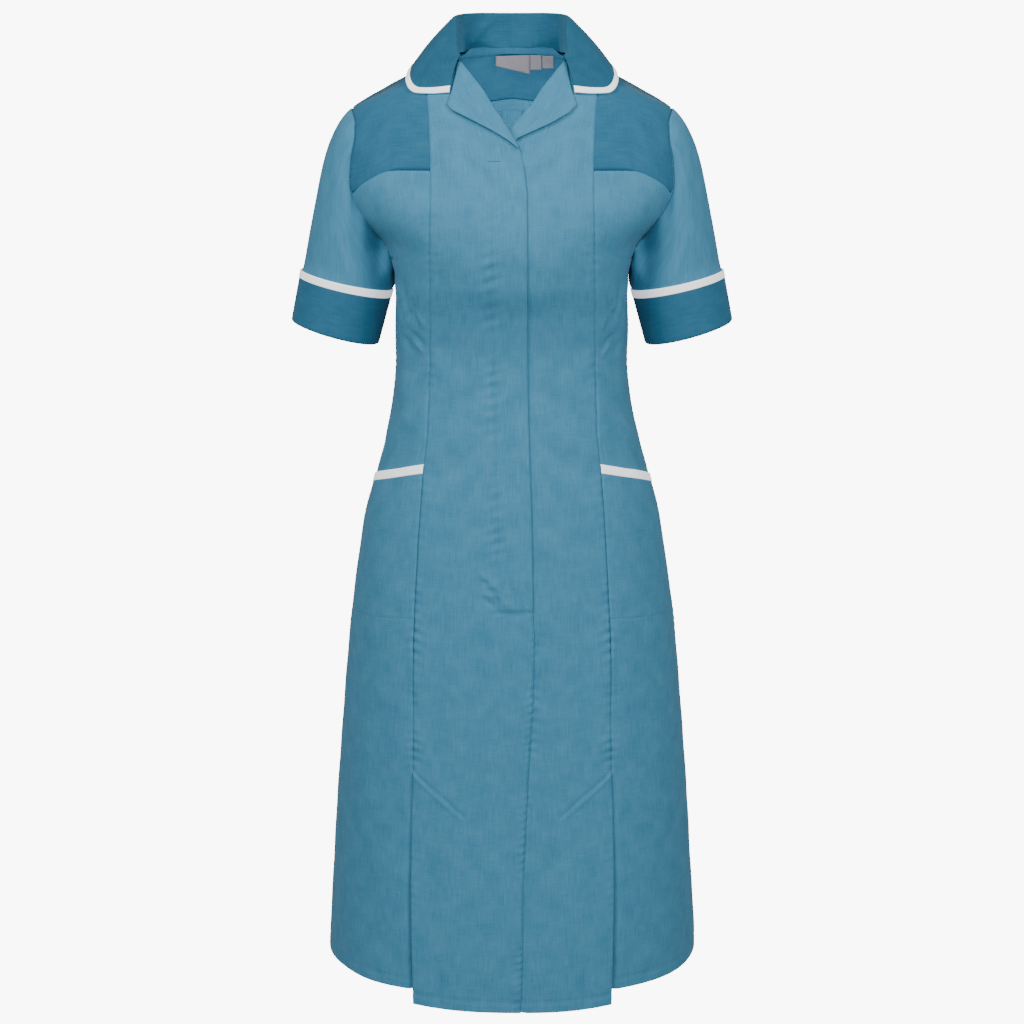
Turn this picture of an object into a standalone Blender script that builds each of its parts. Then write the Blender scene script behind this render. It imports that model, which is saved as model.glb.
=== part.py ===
"""Nurse's uniform dress: the hollow form that it keeps when it is worn, with no wearer.

Metres, +Z up. The origin is between the shoulders at the height of the side neck points,
where the wearer's shoulders hold the dress. The front faces -Y and +X is the wearer's left.

Every body piece lies on one form. A horizontal section of that form has a half width, a front
depth and a back depth, and a place on it is an angle and a height: 0 degrees is the centre
front, 90 the side seam (above the arm, the shoulder seam) and 180 the centre back. Each cut
piece is a grid laid between two seam lines, one cloth thickness deep, a seam gap from its
neighbours. Pieces that lap over others are the same form moved out or in.
"""

import math

import bmesh
import bpy
import numpy as np

MM = 0.001
CLOTH = 1.2 * MM  # wall of one cut piece
SEAM_GAP = 0.4 * MM  # between sewn neighbours
LAP_GAP = 0.8 * MM  # between cloth and the cloth lapped over it

SQUARE = 0.10  # how far the sections bulge at their corners
SIDE = math.pi / 2
BACK = math.pi
SEAM_TURN = 0.0018  # half a seam gap at the side and centre back seams, in radians
RIDGE_TURN = 0.0065  # half a seam gap at the shoulder seam, where the section is small

HEM_SIDE = -1.031  # level hem of the side and back
HEM_FRONT = -1.052  # the front hangs lower between its pleats
HEM_FRONT_RISE = 0.004  # from the centre front to the front's corners
NECK_POINT = 0.003  # height of the side neck point
NAPE = 0.0086
SHOULDER_TIP = -0.0543
UNDERARM = -0.2210
PLEAT_TOP = -0.778

# Sections of the form, hem to nape.
SECTION_COLUMNS = ("height", "half_width", "front", "back")
SECTIONS = [
    (-1.060, 0.2185, 0.1700, 0.1700),
    (-1.024, 0.2173, 0.1680, 0.1680),
    (-0.923, 0.2107, 0.1600, 0.1600),
    (-0.822, 0.2031, 0.1515, 0.1520),
    (-0.724, 0.1956, 0.1440, 0.1450),
    (-0.627, 0.1859, 0.1365, 0.1370),
    (-0.556, 0.1755, 0.1310, 0.1300),
    (-0.509, 0.1679, 0.1265, 0.1250),
    (-0.462, 0.1556, 0.1210, 0.1170),
    (-0.415, 0.1426, 0.1145, 0.1060),
    (-0.369, 0.1341, 0.1085, 0.0950),
    (-0.323, 0.1302, 0.1065, 0.0900),
    (-0.278, 0.1300, 0.1150, 0.0950),
    (-0.240, 0.1312, 0.1290, 0.1040),
    (-0.205, 0.1400, 0.1340, 0.1110),
    (-0.165, 0.1770, 0.1270, 0.1140),
    (-0.134, 0.1925, 0.1130, 0.1130),
    (-0.100, 0.1930, 0.0980, 0.1080),
    (-0.072, 0.1870, 0.0860, 0.1010),
    (-0.0543, 0.1769, 0.0785, 0.0955),
    (-0.0433, 0.1613, 0.0725, 0.0900),
    (-0.0347, 0.1457, 0.0670, 0.0850),
    (-0.0260, 0.1300, 0.0620, 0.0800),
    (-0.0185, 0.1150, 0.0575, 0.0755),
    (-0.0080, 0.0890, 0.0520, 0.0690),
    (0.0030, 0.0625, 0.0450, 0.0625),
    (0.0090, 0.0520, 0.0420, 0.0600),
]
COLUMN = dict(zip(SECTION_COLUMNS, np.array(SECTIONS).T))

# Seam between the front panel and the side pieces: height, distance from the centre front.
PRINCESS = [
    (-1.060, 0.1095),
    (-0.970, 0.1111),
    (-0.908, 0.1118),
    (-0.784, 0.1106),
    (-0.647, 0.1095),
    (-0.544, 0.1052),
    (-0.454, 0.0989),
    (-0.398, 0.0940),
    (-0.277, 0.0898),
    (-0.202, 0.0888),
    (-0.120, 0.0876),
    (-0.065, 0.0897),
    (-0.037, 0.0922),
    (-0.0083, 0.0950),
]

# Free edge of the upper front: the roll of the rever, then the fly edge, then the lapped seam
# below the fly. Height, distance past the centre front (a minus stays on its own side).
FRONT_EDGE = [
    (-1.060, 0.0090),
    (-0.988, 0.0113),
    (-0.904, 0.0124),
    (-0.833, 0.0156),
    (-0.763, 0.0189),
    (-0.693, 0.0232),
    (-0.625, 0.0245),
    (-0.602, 0.0233),
    (-0.531, 0.0221),
    (-0.442, 0.0197),
    (-0.364, 0.0174),
    (-0.255, 0.0162),
    (-0.148, 0.0160),
    (-0.125, 0.0142),
    (-0.107, 0.0113),
    (-0.097, 0.0090),
    (-0.0775, -0.0019),
    (-0.0484, -0.0216),
    (-0.0340, -0.0306),
    (-0.0211, -0.0411),
    (-0.0037, -0.0560),
    (0.0030, -0.0622),
]

# Armhole: height, distance from the middle of the dress, shoulder tip last.
ARMHOLE = [
    (-0.2210, 0.1370),
    (-0.2100, 0.1355),
    (-0.2037, 0.1372),
    (-0.1883, 0.1492),
    (-0.1653, 0.1643),
    (-0.1489, 0.1730),
    (-0.1336, 0.1765),
    (-0.1097, 0.1752),
    (-0.0838, 0.1715),
    (-0.0697, 0.1715),
    (SHOULDER_TIP, 0.1769),
]

# Revers: height on the roll line, then the outer edge as distance from the middle and height.
# The right one runs down into the fly edge.
REVERS = {
    "right": [
        (-0.0045, 0.0583, -0.0062),
        (-0.0120, 0.0603, -0.0190),
        (-0.0220, 0.0643, -0.0360),
        (-0.0320, 0.0695, -0.0500),
        (-0.0430, 0.0640, -0.0560),
        (-0.0560, 0.0440, -0.0655),
        (-0.0690, 0.0220, -0.0765),
        (-0.0800, 0.0035, -0.0875),
        (-0.0930, -0.0068, -0.0955),
    ],
    "left": [
        (-0.0045, 0.0583, -0.0062),
        (-0.0120, 0.0603, -0.0190),
        (-0.0220, 0.0643, -0.0360),
        (-0.0320, 0.0695, -0.0502),
        (-0.0420, 0.0612, -0.0583),
        (-0.0525, 0.0420, -0.0690),
        (-0.0645, 0.0240, -0.0770),
        (-0.0740, 0.0058, -0.0850),
    ],
}

# Collar from the centre back to the gorge, on the wearer's left: neck seam, top of the roll
# and outer edge, each x, y, z.
COLLAR = [
    ((0.0000, 0.0590, 0.0100), (0.0000, 0.0612, 0.0480), (0.0000, 0.0775, -0.0120)),
    ((0.0290, 0.0528, 0.0092), (0.0300, 0.0545, 0.0480), (0.0520, 0.0715, -0.0125)),
    ((0.0512, 0.0320, 0.0075), (0.0530, 0.0335, 0.0477), (0.0925, 0.0450, -0.0130)),
    ((0.0602, 0.0015, 0.0055), (0.0605, 0.0040, 0.0470), (0.1140, 0.0050, -0.0125)),
    ((0.0594, -0.0180, 0.0030), (0.0596, -0.0130, 0.0290), (0.1172, -0.0310, -0.0225)),
    ((0.0575, -0.0290, 0.0005), (0.0585, -0.0280, 0.0110), (0.1135, -0.0490, -0.0320)),
    ((0.0555, -0.0355, -0.0015), (0.0572, -0.0375, 0.0035), (0.1040, -0.0575, -0.0369)),
    ((0.0548, -0.0378, -0.0025), (0.0566, -0.0405, 0.0012), (0.0870, -0.0632, -0.0374)),
    ((0.0543, -0.0392, -0.0035), (0.0562, -0.0425, -0.0006), (0.0672, -0.0672, -0.0362)),
]
COLLAR_CLOTH = 1.5 * MM
COLLAR_ROLL = 4.5 * MM  # across the fold at the top of the roll
COLLAR_TRIM = 8.5 * MM

# Sleeve rings from the trim's top edge to the hem of the cuff: middle x, middle z, half
# width, half depth, tilt of the ring.
RING_COLUMNS = ("x", "z", "half_width", "half_depth", "tilt")
CUFF_TOP = (0.1845, -0.2424, 0.0512, 0.0600, math.radians(12.5))
CUFF_HEM = (0.1990, -0.3020, 0.0488, 0.0570, math.radians(15.8))
TRIM_SHARE = 0.15  # of the way from the cuff's top to its hem

# Colours as a dyer would name them.
FINISHES = {
    "hospital_blue": dict(color=(0.078, 0.246, 0.366), roughness=0.82),
    "contrast_blue": dict(color=(0.055, 0.198, 0.305), roughness=0.82),
    "white_binding": dict(color=(0.86, 0.86, 0.88), roughness=0.85),
    "grey_label": dict(color=(0.33, 0.33, 0.35), roughness=0.75),
}


def clear_scene():
    for old in list(bpy.data.objects):
        bpy.data.objects.remove(old)


def finish(slot):
    """The Principled material of that finish, made once."""
    found = bpy.data.materials.get(slot)
    if found:
        return found
    made = bpy.data.materials.new(slot)
    made.use_nodes = True
    shader = made.node_tree.nodes["Principled BSDF"]
    shader.inputs["Base Color"].default_value = (*FINISHES[slot]["color"], 1)
    shader.inputs["Roughness"].default_value = FINISHES[slot]["roughness"]
    shader.inputs["Metallic"].default_value = 0
    return made


def mix(a, b, share):
    return a + (b - a) * share


def ease(low, high, at):
    """0 below low, 1 above high, smooth between."""
    share = np.clip((at - low) / (high - low), 0, 1)
    return share * share * (3 - 2 * share)


def smooth(knots, values, at):
    """A smooth curve through the rows of a table that never overshoots them."""
    x, y = np.asarray(knots, float), np.asarray(values, float)
    at = np.clip(at, x[0], x[-1])
    slope = np.diff(y) / np.diff(x)
    before, after = slope[:-1], slope[1:]
    bend = before * after
    tangent = np.empty(len(x))
    tangent[0], tangent[-1] = slope[0], slope[-1]
    harmonic = 2 * bend / np.where(bend > 0, before + after, 1)
    tangent[1:-1] = np.where(bend > 0, harmonic, 0)
    i = np.clip(np.searchsorted(x, at) - 1, 0, len(x) - 2)
    span = x[i + 1] - x[i]
    s = (at - x[i]) / span
    start = (1 + 2 * s) * y[i] + s * span * tangent[i]
    stop = (3 - 2 * s) * y[i + 1] + (s - 1) * span * tangent[i + 1]
    return (1 - s) ** 2 * start + s**2 * stop


def along(table, height):
    """The second column of a seam table, at that height."""
    rows = np.array(table)
    return smooth(rows[:, 0], rows[:, 1], height)


ANGLES = np.linspace(0, SIDE, 400)
SIDE_SHARE = np.sin(ANGLES) * (1 + SQUARE * np.cos(ANGLES) ** 2)


def angle_at(x, height):
    """The front angle at which the section of that height is x from the middle."""
    share = np.abs(x) / smooth(COLUMN["height"], COLUMN["half_width"], height)
    return np.interp(share, SIDE_SHARE, ANGLES) * np.sign(x)


def skin(angle, height):
    """Points of the form itself."""
    half = smooth(COLUMN["height"], COLUMN["half_width"], height)
    front = smooth(COLUMN["height"], COLUMN["front"], height)
    back = smooth(COLUMN["height"], COLUMN["back"], height)
    sine, cosine = np.sin(angle), np.cos(angle)
    depth = np.where(cosine > 0, front, back)
    x = half * sine * (1 + SQUARE * cosine**2)
    y = -depth * cosine * (1 + SQUARE * sine**2)
    return np.stack([x, y, height + 0 * x], axis=-1)


def body(angle, height, out=0.0):
    """Points of the form, moved out along its normal."""
    angle, height = np.broadcast_arrays(np.asarray(angle, float), height)
    step = 1e-4
    round_it = skin(angle + step, height) - skin(angle - step, height)
    up = skin(angle, height + step) - skin(angle, height - step)
    normal = np.cross(round_it, up)
    normal /= np.linalg.norm(normal, axis=-1, keepdims=True)
    return skin(angle, height) + normal * np.asarray(out)[..., None]


def hand_over(mesh, name, slot):
    """Puts the bmesh in the scene as one named, smooth-shaded piece."""
    bmesh.ops.recalc_face_normals(mesh, faces=mesh.faces)
    if mesh.calc_volume(signed=True) < 0:
        bmesh.ops.reverse_faces(mesh, faces=mesh.faces)
    data = bpy.data.meshes.new(name)
    mesh.to_mesh(data)
    mesh.free()
    data.shade_smooth()
    data.set_sharp_from_angle(angle=math.radians(50))
    piece = bpy.data.objects.new(name, data)
    piece.data.materials.append(finish(slot))
    bpy.context.scene.collection.objects.link(piece)


def cut_piece(name, place, columns, rows, slot="hospital_blue", thick=CLOTH, tube=False):
    """A wall of cloth: its right side and its wrong side as two grids, joined round the edge.

    place(across, along, depth) turns shares of the piece's width and length into points that
    far out of its right side. The two long edges of a tube are one line.
    """
    mesh = bmesh.new()
    sides = []
    for depth in (0.0, -thick):
        grid = bmesh.ops.create_grid(mesh, x_segments=columns, y_segments=rows, size=0.5)
        shares = np.array([vert.co for vert in grid["verts"]]) + 0.5
        for vert, point in zip(grid["verts"], place(shares[:, 0], shares[:, 1], depth)):
            vert.co = point
        sides.append(grid["verts"])
    partner = {outer: (inner, share) for outer, inner, share in zip(*sides, shares)}
    for edge in [edge for edge in mesh.edges if edge.is_boundary and edge.verts[0] in partner]:
        start, stop = edge.verts
        long_edge = abs(partner[start][1][0] - partner[stop][1][0]) < 1e-6
        if not (tube and long_edge):
            mesh.faces.new((start, stop, partner[stop][0], partner[start][0]))
    if tube:
        bmesh.ops.remove_doubles(mesh, verts=mesh.verts, dist=1e-6)
    hand_over(mesh, name, slot)


def between(lines, rows, out=None, drop=None, crest=False, side=1):
    """place() for a piece of the form that is cut between seam lines.

    lines are the seams and the lines between them, at equal shares of the width, each the
    angle of that line at a height. rows are heights (at the first line, at the last line),
    bottom to top; drop(across, first height) spreads that difference over the width. A piece
    with a crest ends in the shoulder seam. out(angle, height) moves the piece out of the form.
    """
    table = np.array(rows, float)
    steps = np.linspace(0, 1, len(table))

    def place(across, length, depth):
        first = np.interp(length, steps, table[:, 0])
        last = np.interp(length, steps, table[:, 1])
        height = mix(first, last, across if drop is None else drop(across, first))
        angles = np.array([line(height) for line in lines])
        spot = across * (len(lines) - 1)
        i = np.minimum(spot.astype(int), len(lines) - 2)
        every = np.arange(len(across))
        angle = mix(angles[i, every], angles[i + 1, every], spot - i)
        if crest:
            angle = np.where(length > 1 - 1e-6, SIDE - RIDGE_TURN, angle)
        lift = np.zeros(len(across)) if out is None else out(angle, height)
        return body(angle, height, lift + depth) * (side, 1, 1)

    return place


def both_sides(name, lines, rows, columns, **cut):
    """The same piece for the wearer's left and right."""
    shape = {key: cut.pop(key) for key in ("out", "drop", "crest") if key in cut}
    for side, end in ((1, "left"), (-1, "right")):
        place = between(lines, rows, side=side, **shape)
        cut_piece(f"{name}_{end}", place, columns, len(rows) - 1, **cut)


# --- Seam lines: the angle of a seam at a height, on the wearer's left ----------------------


def line_at(x):
    """The line that stays that far from the middle; x may be a number or a function."""
    return lambda height: angle_at(x(height) if callable(x) else x, height)


def princess(shift):
    return line_at(lambda height: along(PRINCESS, height) + shift)


def front_edge(height):
    return along(FRONT_EDGE, height)


def armhole(height):
    """Front edge of the armhole, and the side seam below it."""
    hole = angle_at(along(ARMHOLE, height) - SEAM_GAP, height)
    return np.where(height > UNDERARM + 1e-6, np.minimum(hole, SIDE), SIDE) - SEAM_TURN


def back_armhole(height):
    return BACK - armhole(height)


def centre_back(height):
    return BACK - SEAM_TURN + 0 * height


# Rows of the skirt and bodice: height at the princess seam, height at the side seam. Every
# piece beside or over another uses the same rows, so that their facets lie together.
POCKET_BOTTOM = (-0.610, -0.625)
POCKET_BINDING = (-0.4464, -0.4760)
POCKET_TOP = (-0.4374, -0.4660)
SKIRT = [(-0.930, -0.930), (-0.832, -0.832), (-0.778, -0.778), (-0.690, -0.700), POCKET_BOTTOM]
SKIRT += [(-0.555, -0.575), (-0.500, -0.525), POCKET_BINDING, POCKET_TOP, (-0.400, -0.420)]
SKIRT += [(-0.362, -0.370), (-0.325, -0.328)]
BODICE = [(-0.290, -0.290), (-0.255, -0.255), (UNDERARM, UNDERARM)]
ARM = [(-0.196, -0.2060), (-0.171, -0.1870), (-0.145, -0.1650)]
YOKE_SEAM = (-0.1174, -0.1457)
YOKE = [(-0.098, -0.1240), (-0.076, -0.1000), (-0.054, -0.0790), (-0.036, -0.0670)]
YOKE += [(-0.0225, -0.0595), (-0.0130, -0.0558)]
YOKE_TOP = (-0.0104, SHOULDER_TIP)
UPPER_EDGE = [-0.0980, -0.0800, -0.0620, -0.0420, -0.0240, -0.0090]


def shifted(pair, up):
    return (pair[0] + up, pair[1] + up)


# --- Front ----------------------------------------------------------------------------------


def pleat_lift(angle, height):
    """The front panel stands off as its pleats open towards the hem."""
    return 3.2 * MM * ease(-PLEAT_TOP - 0.03, -HEM_SIDE, -height)


def under_lift(angle, height):
    """The front that goes under is tucked in beneath the fly and its seam."""
    x = skin(angle, height)[..., 0]
    under = ease(-0.0070, -0.0016, front_edge(height) - x) * ease(0.055, 0.0765, -height)
    return pleat_lift(angle, height) - under * (CLOTH + LAP_GAP)


def front_panels():
    """Right front over left front, each with the roll of its rever as its neck edge."""
    rows = [(HEM_FRONT, HEM_FRONT + HEM_FRONT_RISE)]
    rows += [(seam, seam) for seam, _ in SKIRT + BODICE + ARM + [YOKE_SEAM]]
    rows += [(edge, seam) for edge, (seam, _) in zip(UPPER_EDGE, YOKE)]
    rows += [(NECK_POINT, YOKE_TOP[0])]
    free = line_at(lambda height: -front_edge(height))
    seam = princess(-SEAM_GAP / 2)
    over = between([free, seam], rows, out=pleat_lift, crest=True, side=-1)
    cut_piece("front_right", over, 7, len(rows) - 1)
    edge = line_at(lambda height: np.maximum(front_edge(height), -front_edge(height)) + 0.0016)
    clear = line_at(lambda height: np.maximum(front_edge(height), -front_edge(height)) + 0.0070)

    def lie_with_the_other(across, height):
        return np.interp(across, [0, 1 / 3, 2 / 3, 1], [0, 0.32, 0.37, 1])

    under = between(
        [free, edge, clear, seam], rows, out=under_lift, drop=lie_with_the_other, crest=True
    )
    cut_piece("front_left", under, 6, len(rows) - 1)


def yoke_drop(across, height):
    """The yoke seam runs level from the princess seam, then falls to the armhole. Lower down
    the rows slope evenly, as the pockets' mouths do."""
    level_then_down = smooth([0, 0.40, 0.66, 1], [0, 0.03, 0.36, 1], across)
    return mix(across, level_then_down, ease(-0.325, -0.221, height))


def side_pieces():
    seam = princess(SEAM_GAP / 2)
    rows = [(HEM_SIDE, HEM_SIDE)] + SKIRT + BODICE + ARM + [shifted(YOKE_SEAM, -SEAM_GAP / 2)]
    both_sides("side_front", [seam, armhole], rows, 6, drop=yoke_drop)
    rows = [shifted(YOKE_SEAM, SEAM_GAP / 2)] + YOKE + [YOKE_TOP]
    both_sides(
        "front_yoke", [seam, armhole], rows, 6, drop=yoke_drop, crest=True, slot="contrast_blue"
    )


def pockets():
    """Patch pockets on the side fronts, caught in the seams at both sides."""

    def on_top(angle, height):
        return np.full(np.shape(angle), CLOTH + LAP_GAP)

    lines = [princess(SEAM_GAP / 2 + MM), armhole]
    first, last = SKIRT.index(POCKET_BOTTOM), SKIRT.index(POCKET_BINDING)
    both_sides("pocket", lines, SKIRT[first : last + 1], 6, out=on_top, drop=yoke_drop)
    rows = [shifted(POCKET_BINDING, SEAM_GAP), POCKET_TOP]
    both_sides(
        "pocket_trim", lines, rows, 6, out=on_top, drop=yoke_drop, slot="white_binding"
    )


def pleat_underlays():
    """Cloth inside each kick pleat, joined behind the side front, under the front panel."""

    def tucked(angle, height):
        return np.full(np.shape(angle), -(CLOTH + LAP_GAP + 0.6 * MM))

    lines = [princess(-0.058), princess(-0.010), princess(0.009)]
    rows = [(HEM_SIDE + 0.003, HEM_SIDE + 0.003), SKIRT[0], (-0.860, -0.832), (-0.832, -0.800)]
    both_sides("pleat_underlay", lines, rows, 6, out=tucked)


# --- Back -----------------------------------------------------------------------------------

BACK_YOKE_SEAM = (-0.0880, -0.0474)  # at the armhole, at the centre back


def back_panels():
    """Two plain backs, joined at the centre back seam."""
    rows = [(HEM_SIDE, HEM_SIDE)] + [(side, side) for _, side in SKIRT + BODICE]
    rows += [(-0.1960, -0.1800), (-0.1660, -0.1400), (-0.1280, -0.0920)]
    rows += [shifted(BACK_YOKE_SEAM, -SEAM_GAP)]
    both_sides("back", [back_armhole, centre_back], rows, 8)


def back_yoke():
    """One piece across both shoulders: armhole, shoulder seam, neck, and the same again."""
    rise = np.array([0, 0.25, 0.50, 0.74, 0.90, 1])

    def place(across, length, depth):
        mirror = np.where(across < 0.5, 1.0, -1.0)
        inward = 1 - np.abs(2 * across - 1)
        low = mix(*BACK_YOKE_SEAM, inward)
        low_angle = mix(back_armhole(low), BACK, inward)
        on_neck = np.clip((inward - 0.5) * 2, 0, 1)
        ridge = np.interp(inward, [0, 0.25, 0.5], [SHOULDER_TIP, -0.0260, NECK_POINT])
        top = np.where(inward < 0.5, ridge, mix(NECK_POINT, NAPE, ease(0, 1, on_neck)))
        top_angle = np.where(inward < 0.5, SIDE + RIDGE_TURN, mix(SIDE, BACK, on_neck))
        up = np.interp(length, np.linspace(0, 1, len(rise)), rise)
        height = mix(low, top, up)
        hole = back_armhole(height)
        angle = mix(low_angle, top_angle, up**2)
        angle = np.where(inward < 1e-6, np.maximum(hole, SIDE + RIDGE_TURN), angle)
        return body(angle, height, depth) * np.stack([mirror, 0 * mirror + 1, 0 * mirror + 1], -1)

    cut_piece("back_yoke", place, 16, len(rise) - 1, slot="contrast_blue")


# --- Neck: revers, collar, binding and labels ------------------------------------------------


def revers():
    """The tops of the fronts turned back over themselves along the roll line."""
    for end, side in (("right", -1), ("left", 1)):
        roll_z, outer_x, outer_z = np.array(REVERS[end]).T
        steps = np.linspace(0, 1, len(roll_z))

        def place(across, length, depth):
            down = 1 - length
            low = np.interp(down, steps, roll_z)
            x = mix(-front_edge(low) + 0.0006, np.interp(down, steps, outer_x), across)
            z = mix(low, np.interp(down, steps, outer_z), across)
            lift = CLOTH + LAP_GAP + 0.4 * MM * np.sin(np.pi * across)
            return body(angle_at(x, z), z, lift + depth) * (side, 1, 1)

        cut_piece(f"rever_{end}", place, 5, 2 * (len(roll_z) - 1))


def raised(surface, across, length, depth):
    """Points of surface(across, length), moved out along its own normal."""
    step = 1e-3
    right = surface(across + step, length) - surface(across - step, length)
    up = surface(across, length + step) - surface(across, length - step)
    normal = np.cross(right, up)
    normal /= np.linalg.norm(normal, axis=-1, keepdims=True)
    return surface(across, length) + normal * depth


# Shares of the collar's depth: neck seam, up the stand, over the roll, down the fall.
STAND, ROLL, FALL = 0.40, 0.46, 0.52


def collar_point(side, way):
    """The collar's upper side; side runs -1 to 1 round the neck, way from seam to edge."""
    stations = np.linspace(0, 1, len(COLLAR))
    neck, roll, edge = (
        np.stack([smooth(stations, np.array(points)[:, axis], np.abs(side)) for axis in range(3)], -1)
        for points in zip(*COLLAR)
    )
    outward = (edge - neck) * (1, 1, 0)
    outward /= np.linalg.norm(outward, axis=-1, keepdims=True)
    over = roll + outward * COLLAR_ROLL / 2 + (0, 0, 1.2 * MM)
    down = roll + outward * COLLAR_ROLL
    knots = [(0, neck), (STAND, roll), (ROLL, over), (FALL, down), (1, edge)]
    points = neck
    for (start, here), (stop, there) in zip(knots, knots[1:]):
        share = np.clip((way - start) / (stop - start), 0, 1)[:, None]
        points = points + (there - here) * share
    belly = np.sin(np.pi * np.clip((way - FALL) / (1 - FALL), 0, 1))[:, None]
    points = points + 2.5 * MM * belly * (0.8 * outward + (0, 0, 0.6))
    return points * np.stack([np.sign(side) + (side == 0), 1 + 0 * side, 1 + 0 * side], -1)


def trim_share(side):
    """Share of the collar's depth that its trim takes."""
    top = collar_point(side, np.full(len(side), FALL))
    edge = collar_point(side, np.ones(len(side)))
    return (1 - FALL) * COLLAR_TRIM / np.linalg.norm(edge - top, axis=-1)


def collar():
    """Stand and fall in one piece, and the white trim round the fall's edge."""
    shares = [0, STAND / 2, STAND, ROLL, FALL, 0.62, 0.74, 0.87, 1]

    def upper(across, length):
        side = np.clip(across, 0, 1) * 2 - 1
        way = np.interp(length, np.linspace(0, 1, len(shares)), shares)
        end = 1 - trim_share(side) * (1 + 2 * SEAM_GAP / COLLAR_TRIM)
        return collar_point(side, np.where(way > FALL, mix(FALL, end, (way - FALL) / (1 - FALL)), way))

    def border(across, length):
        side = np.clip(across, 0, 1) * 2 - 1
        return collar_point(side, 1 - trim_share(side) * (1 - np.clip(length, 0, 1)))

    def place_on(surface, out=0.0):
        return lambda across, length, depth: raised(surface, across, length, depth + out)

    folded = {"slot": "contrast_blue", "thick": COLLAR_CLOTH}
    cut_piece("collar", place_on(upper), 24, len(shares) - 1, **folded)
    cut_piece(
        "collar_trim", place_on(border, 0.2 * MM), 24, 1, slot="white_binding", thick=1.9 * MM
    )


def neck_line(angle):
    """Height of the back neck edge, from the neck points to the nape."""
    return mix(NECK_POINT, NAPE, ease(0, 1, 1 - np.abs(angle - BACK) / SIDE))


def neck_inside():
    """Inside the back neck: the binding over the collar seam, a blank label and two tabs."""

    def band(across, length, depth):
        angle = BACK + mix(-1, 1, across) * math.radians(67.5)
        height = neck_line(angle) - mix(6.0, 1.0, length) * MM
        return body(angle, height, depth - CLOTH - 1.3 * MM)

    cut_piece("neck_binding", band, 6, 1, slot="contrast_blue", thick=1.0 * MM)
    labels = {
        "label": [(-0.0190, 0.0000), (-0.0190, -0.0080), (0.0200, 0.0008), (0.0200, -0.0165)],
        "size_tab_1": [(0.0210, 0.0000), (0.0210, -0.0120), (0.0333, -0.0005), (0.0333, -0.0120)],
        "size_tab_2": [(0.0350, -0.0010), (0.0350, -0.0110), (0.0466, -0.0018), (0.0466, -0.0110)],
    }
    for name, ((left, top), (_, low), (right, other_top), (_, other_low)) in labels.items():

        def hang(across, length, depth):
            x = mix(left, right, across)
            z = mix(mix(low, other_low, across), mix(top, other_top, across), length)
            inside = -CLOTH - 3.0 * MM
            return body(BACK - angle_at(x, z), z, inside - depth)

        cut_piece(name, hang, 4, 2, slot="grey_label", thick=0.8 * MM)


# --- Sleeves --------------------------------------------------------------------------------


def ring(turn, way):
    """Cuff rings: turn 0 is under the arm, a half is on top; way is 0 at the cuff's top."""
    row = dict(zip(RING_COLUMNS, (mix(a, b, way) for a, b in zip(CUFF_TOP, CUFF_HEM))))
    across = -np.cos(2 * math.pi * turn) * row["half_width"]
    y = -np.sin(2 * math.pi * turn) * row["half_depth"]
    x = row["x"] + across * np.cos(row["tilt"])
    z = row["z"] + across * np.sin(row["tilt"])
    return np.stack([x, y, z], -1)


def hole_ring(turn):
    """The armhole, just outside the edges of the body's pieces."""
    up = (1 - np.cos(2 * math.pi * turn)) / 2
    height = mix(UNDERARM, SHOULDER_TIP, up)
    angle = np.minimum(angle_at(along(ARMHOLE, height) + 0.6 * MM, height), SIDE)
    angle = np.where(turn > 0.5, BACK - angle, angle)
    return body(angle, height, 1.3 * MM * (1 - up) ** 2)


def sleeve_surface(turn, way):
    """From the armhole, out over the shoulder and down to the cuff's top ring."""
    turn = turn % 1.0
    top = (1 - np.cos(2 * math.pi * turn)) / 2
    start, stop = hole_ring(turn), ring(turn, 0 * turn)
    fore = np.sin(2 * math.pi * turn)
    lead = np.stack([mix(0.20, 0.83, top), -0.25 * fore * (1 - top), -mix(0.98, 0.56, top)], -1)
    drop = np.stack([0.235 + 0 * top, 0 * top, -0.972 + 0 * top], -1)
    span = np.linalg.norm(stop - start, axis=-1, keepdims=True)
    w = way[:, None]
    points = (2 * w**3 - 3 * w**2 + 1) * start + (3 * w**2 - 2 * w**3) * stop
    points = points + (w**3 - 2 * w**2 + w) * lead * span * mix(0.5, 0.68, top)[:, None]
    return points + (w**3 - w**2) * drop * span * 0.95


def sleeves():
    """Short set-in sleeves, each with a turned-back cuff under a white trim."""

    def sleeve(across, length):
        return sleeve_surface(across, mix(0.010, 0.992, length))

    def cuff(across, length):
        return ring(across, mix(TRIM_SHARE + 0.006, 1, length))

    def trim(across, length):
        return ring(across, mix(0.012, TRIM_SHARE, length))

    for side, end in ((1, "left"), (-1, "right")):

        def place_on(surface, out=0.0):
            def place(across, length, depth):
                return raised(surface, across, length, -depth - out) * (side, 1, 1)

            return place

        cut_piece(f"sleeve_{end}", place_on(sleeve), 20, 7, tube=True)
        folded = {"slot": "contrast_blue", "thick": 2.0 * MM, "tube": True}
        cut_piece(f"cuff_{end}", place_on(cuff, 0.6 * MM), 20, 2, **folded)
        binding = {"slot": "white_binding", "thick": 2.4 * MM, "tube": True}
        cut_piece(f"cuff_trim_{end}", place_on(trim, MM), 20, 1, **binding)


def main():
    clear_scene()
    front_panels()
    side_pieces()
    pockets()
    pleat_underlays()
    back_panels()
    back_yoke()
    revers()
    collar()
    neck_inside()
    sleeves()


main()
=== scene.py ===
"""The looks of a nurse's uniform dress: every cut piece as real cloth on the dress's worn form.

Metres, +Z up, the front faces -Y and +X is the wearer's left. The form, its seam lines and its
rings are the CAD's own. A place on the body is an angle (0 centre front, 90 degrees the side,
180 centre back) and a height, and a cut piece is a grid between two seam lines, moved in or out.
"""

import math

import bmesh
import bpy
import numpy as np
from mathutils import Matrix, Vector


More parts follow.
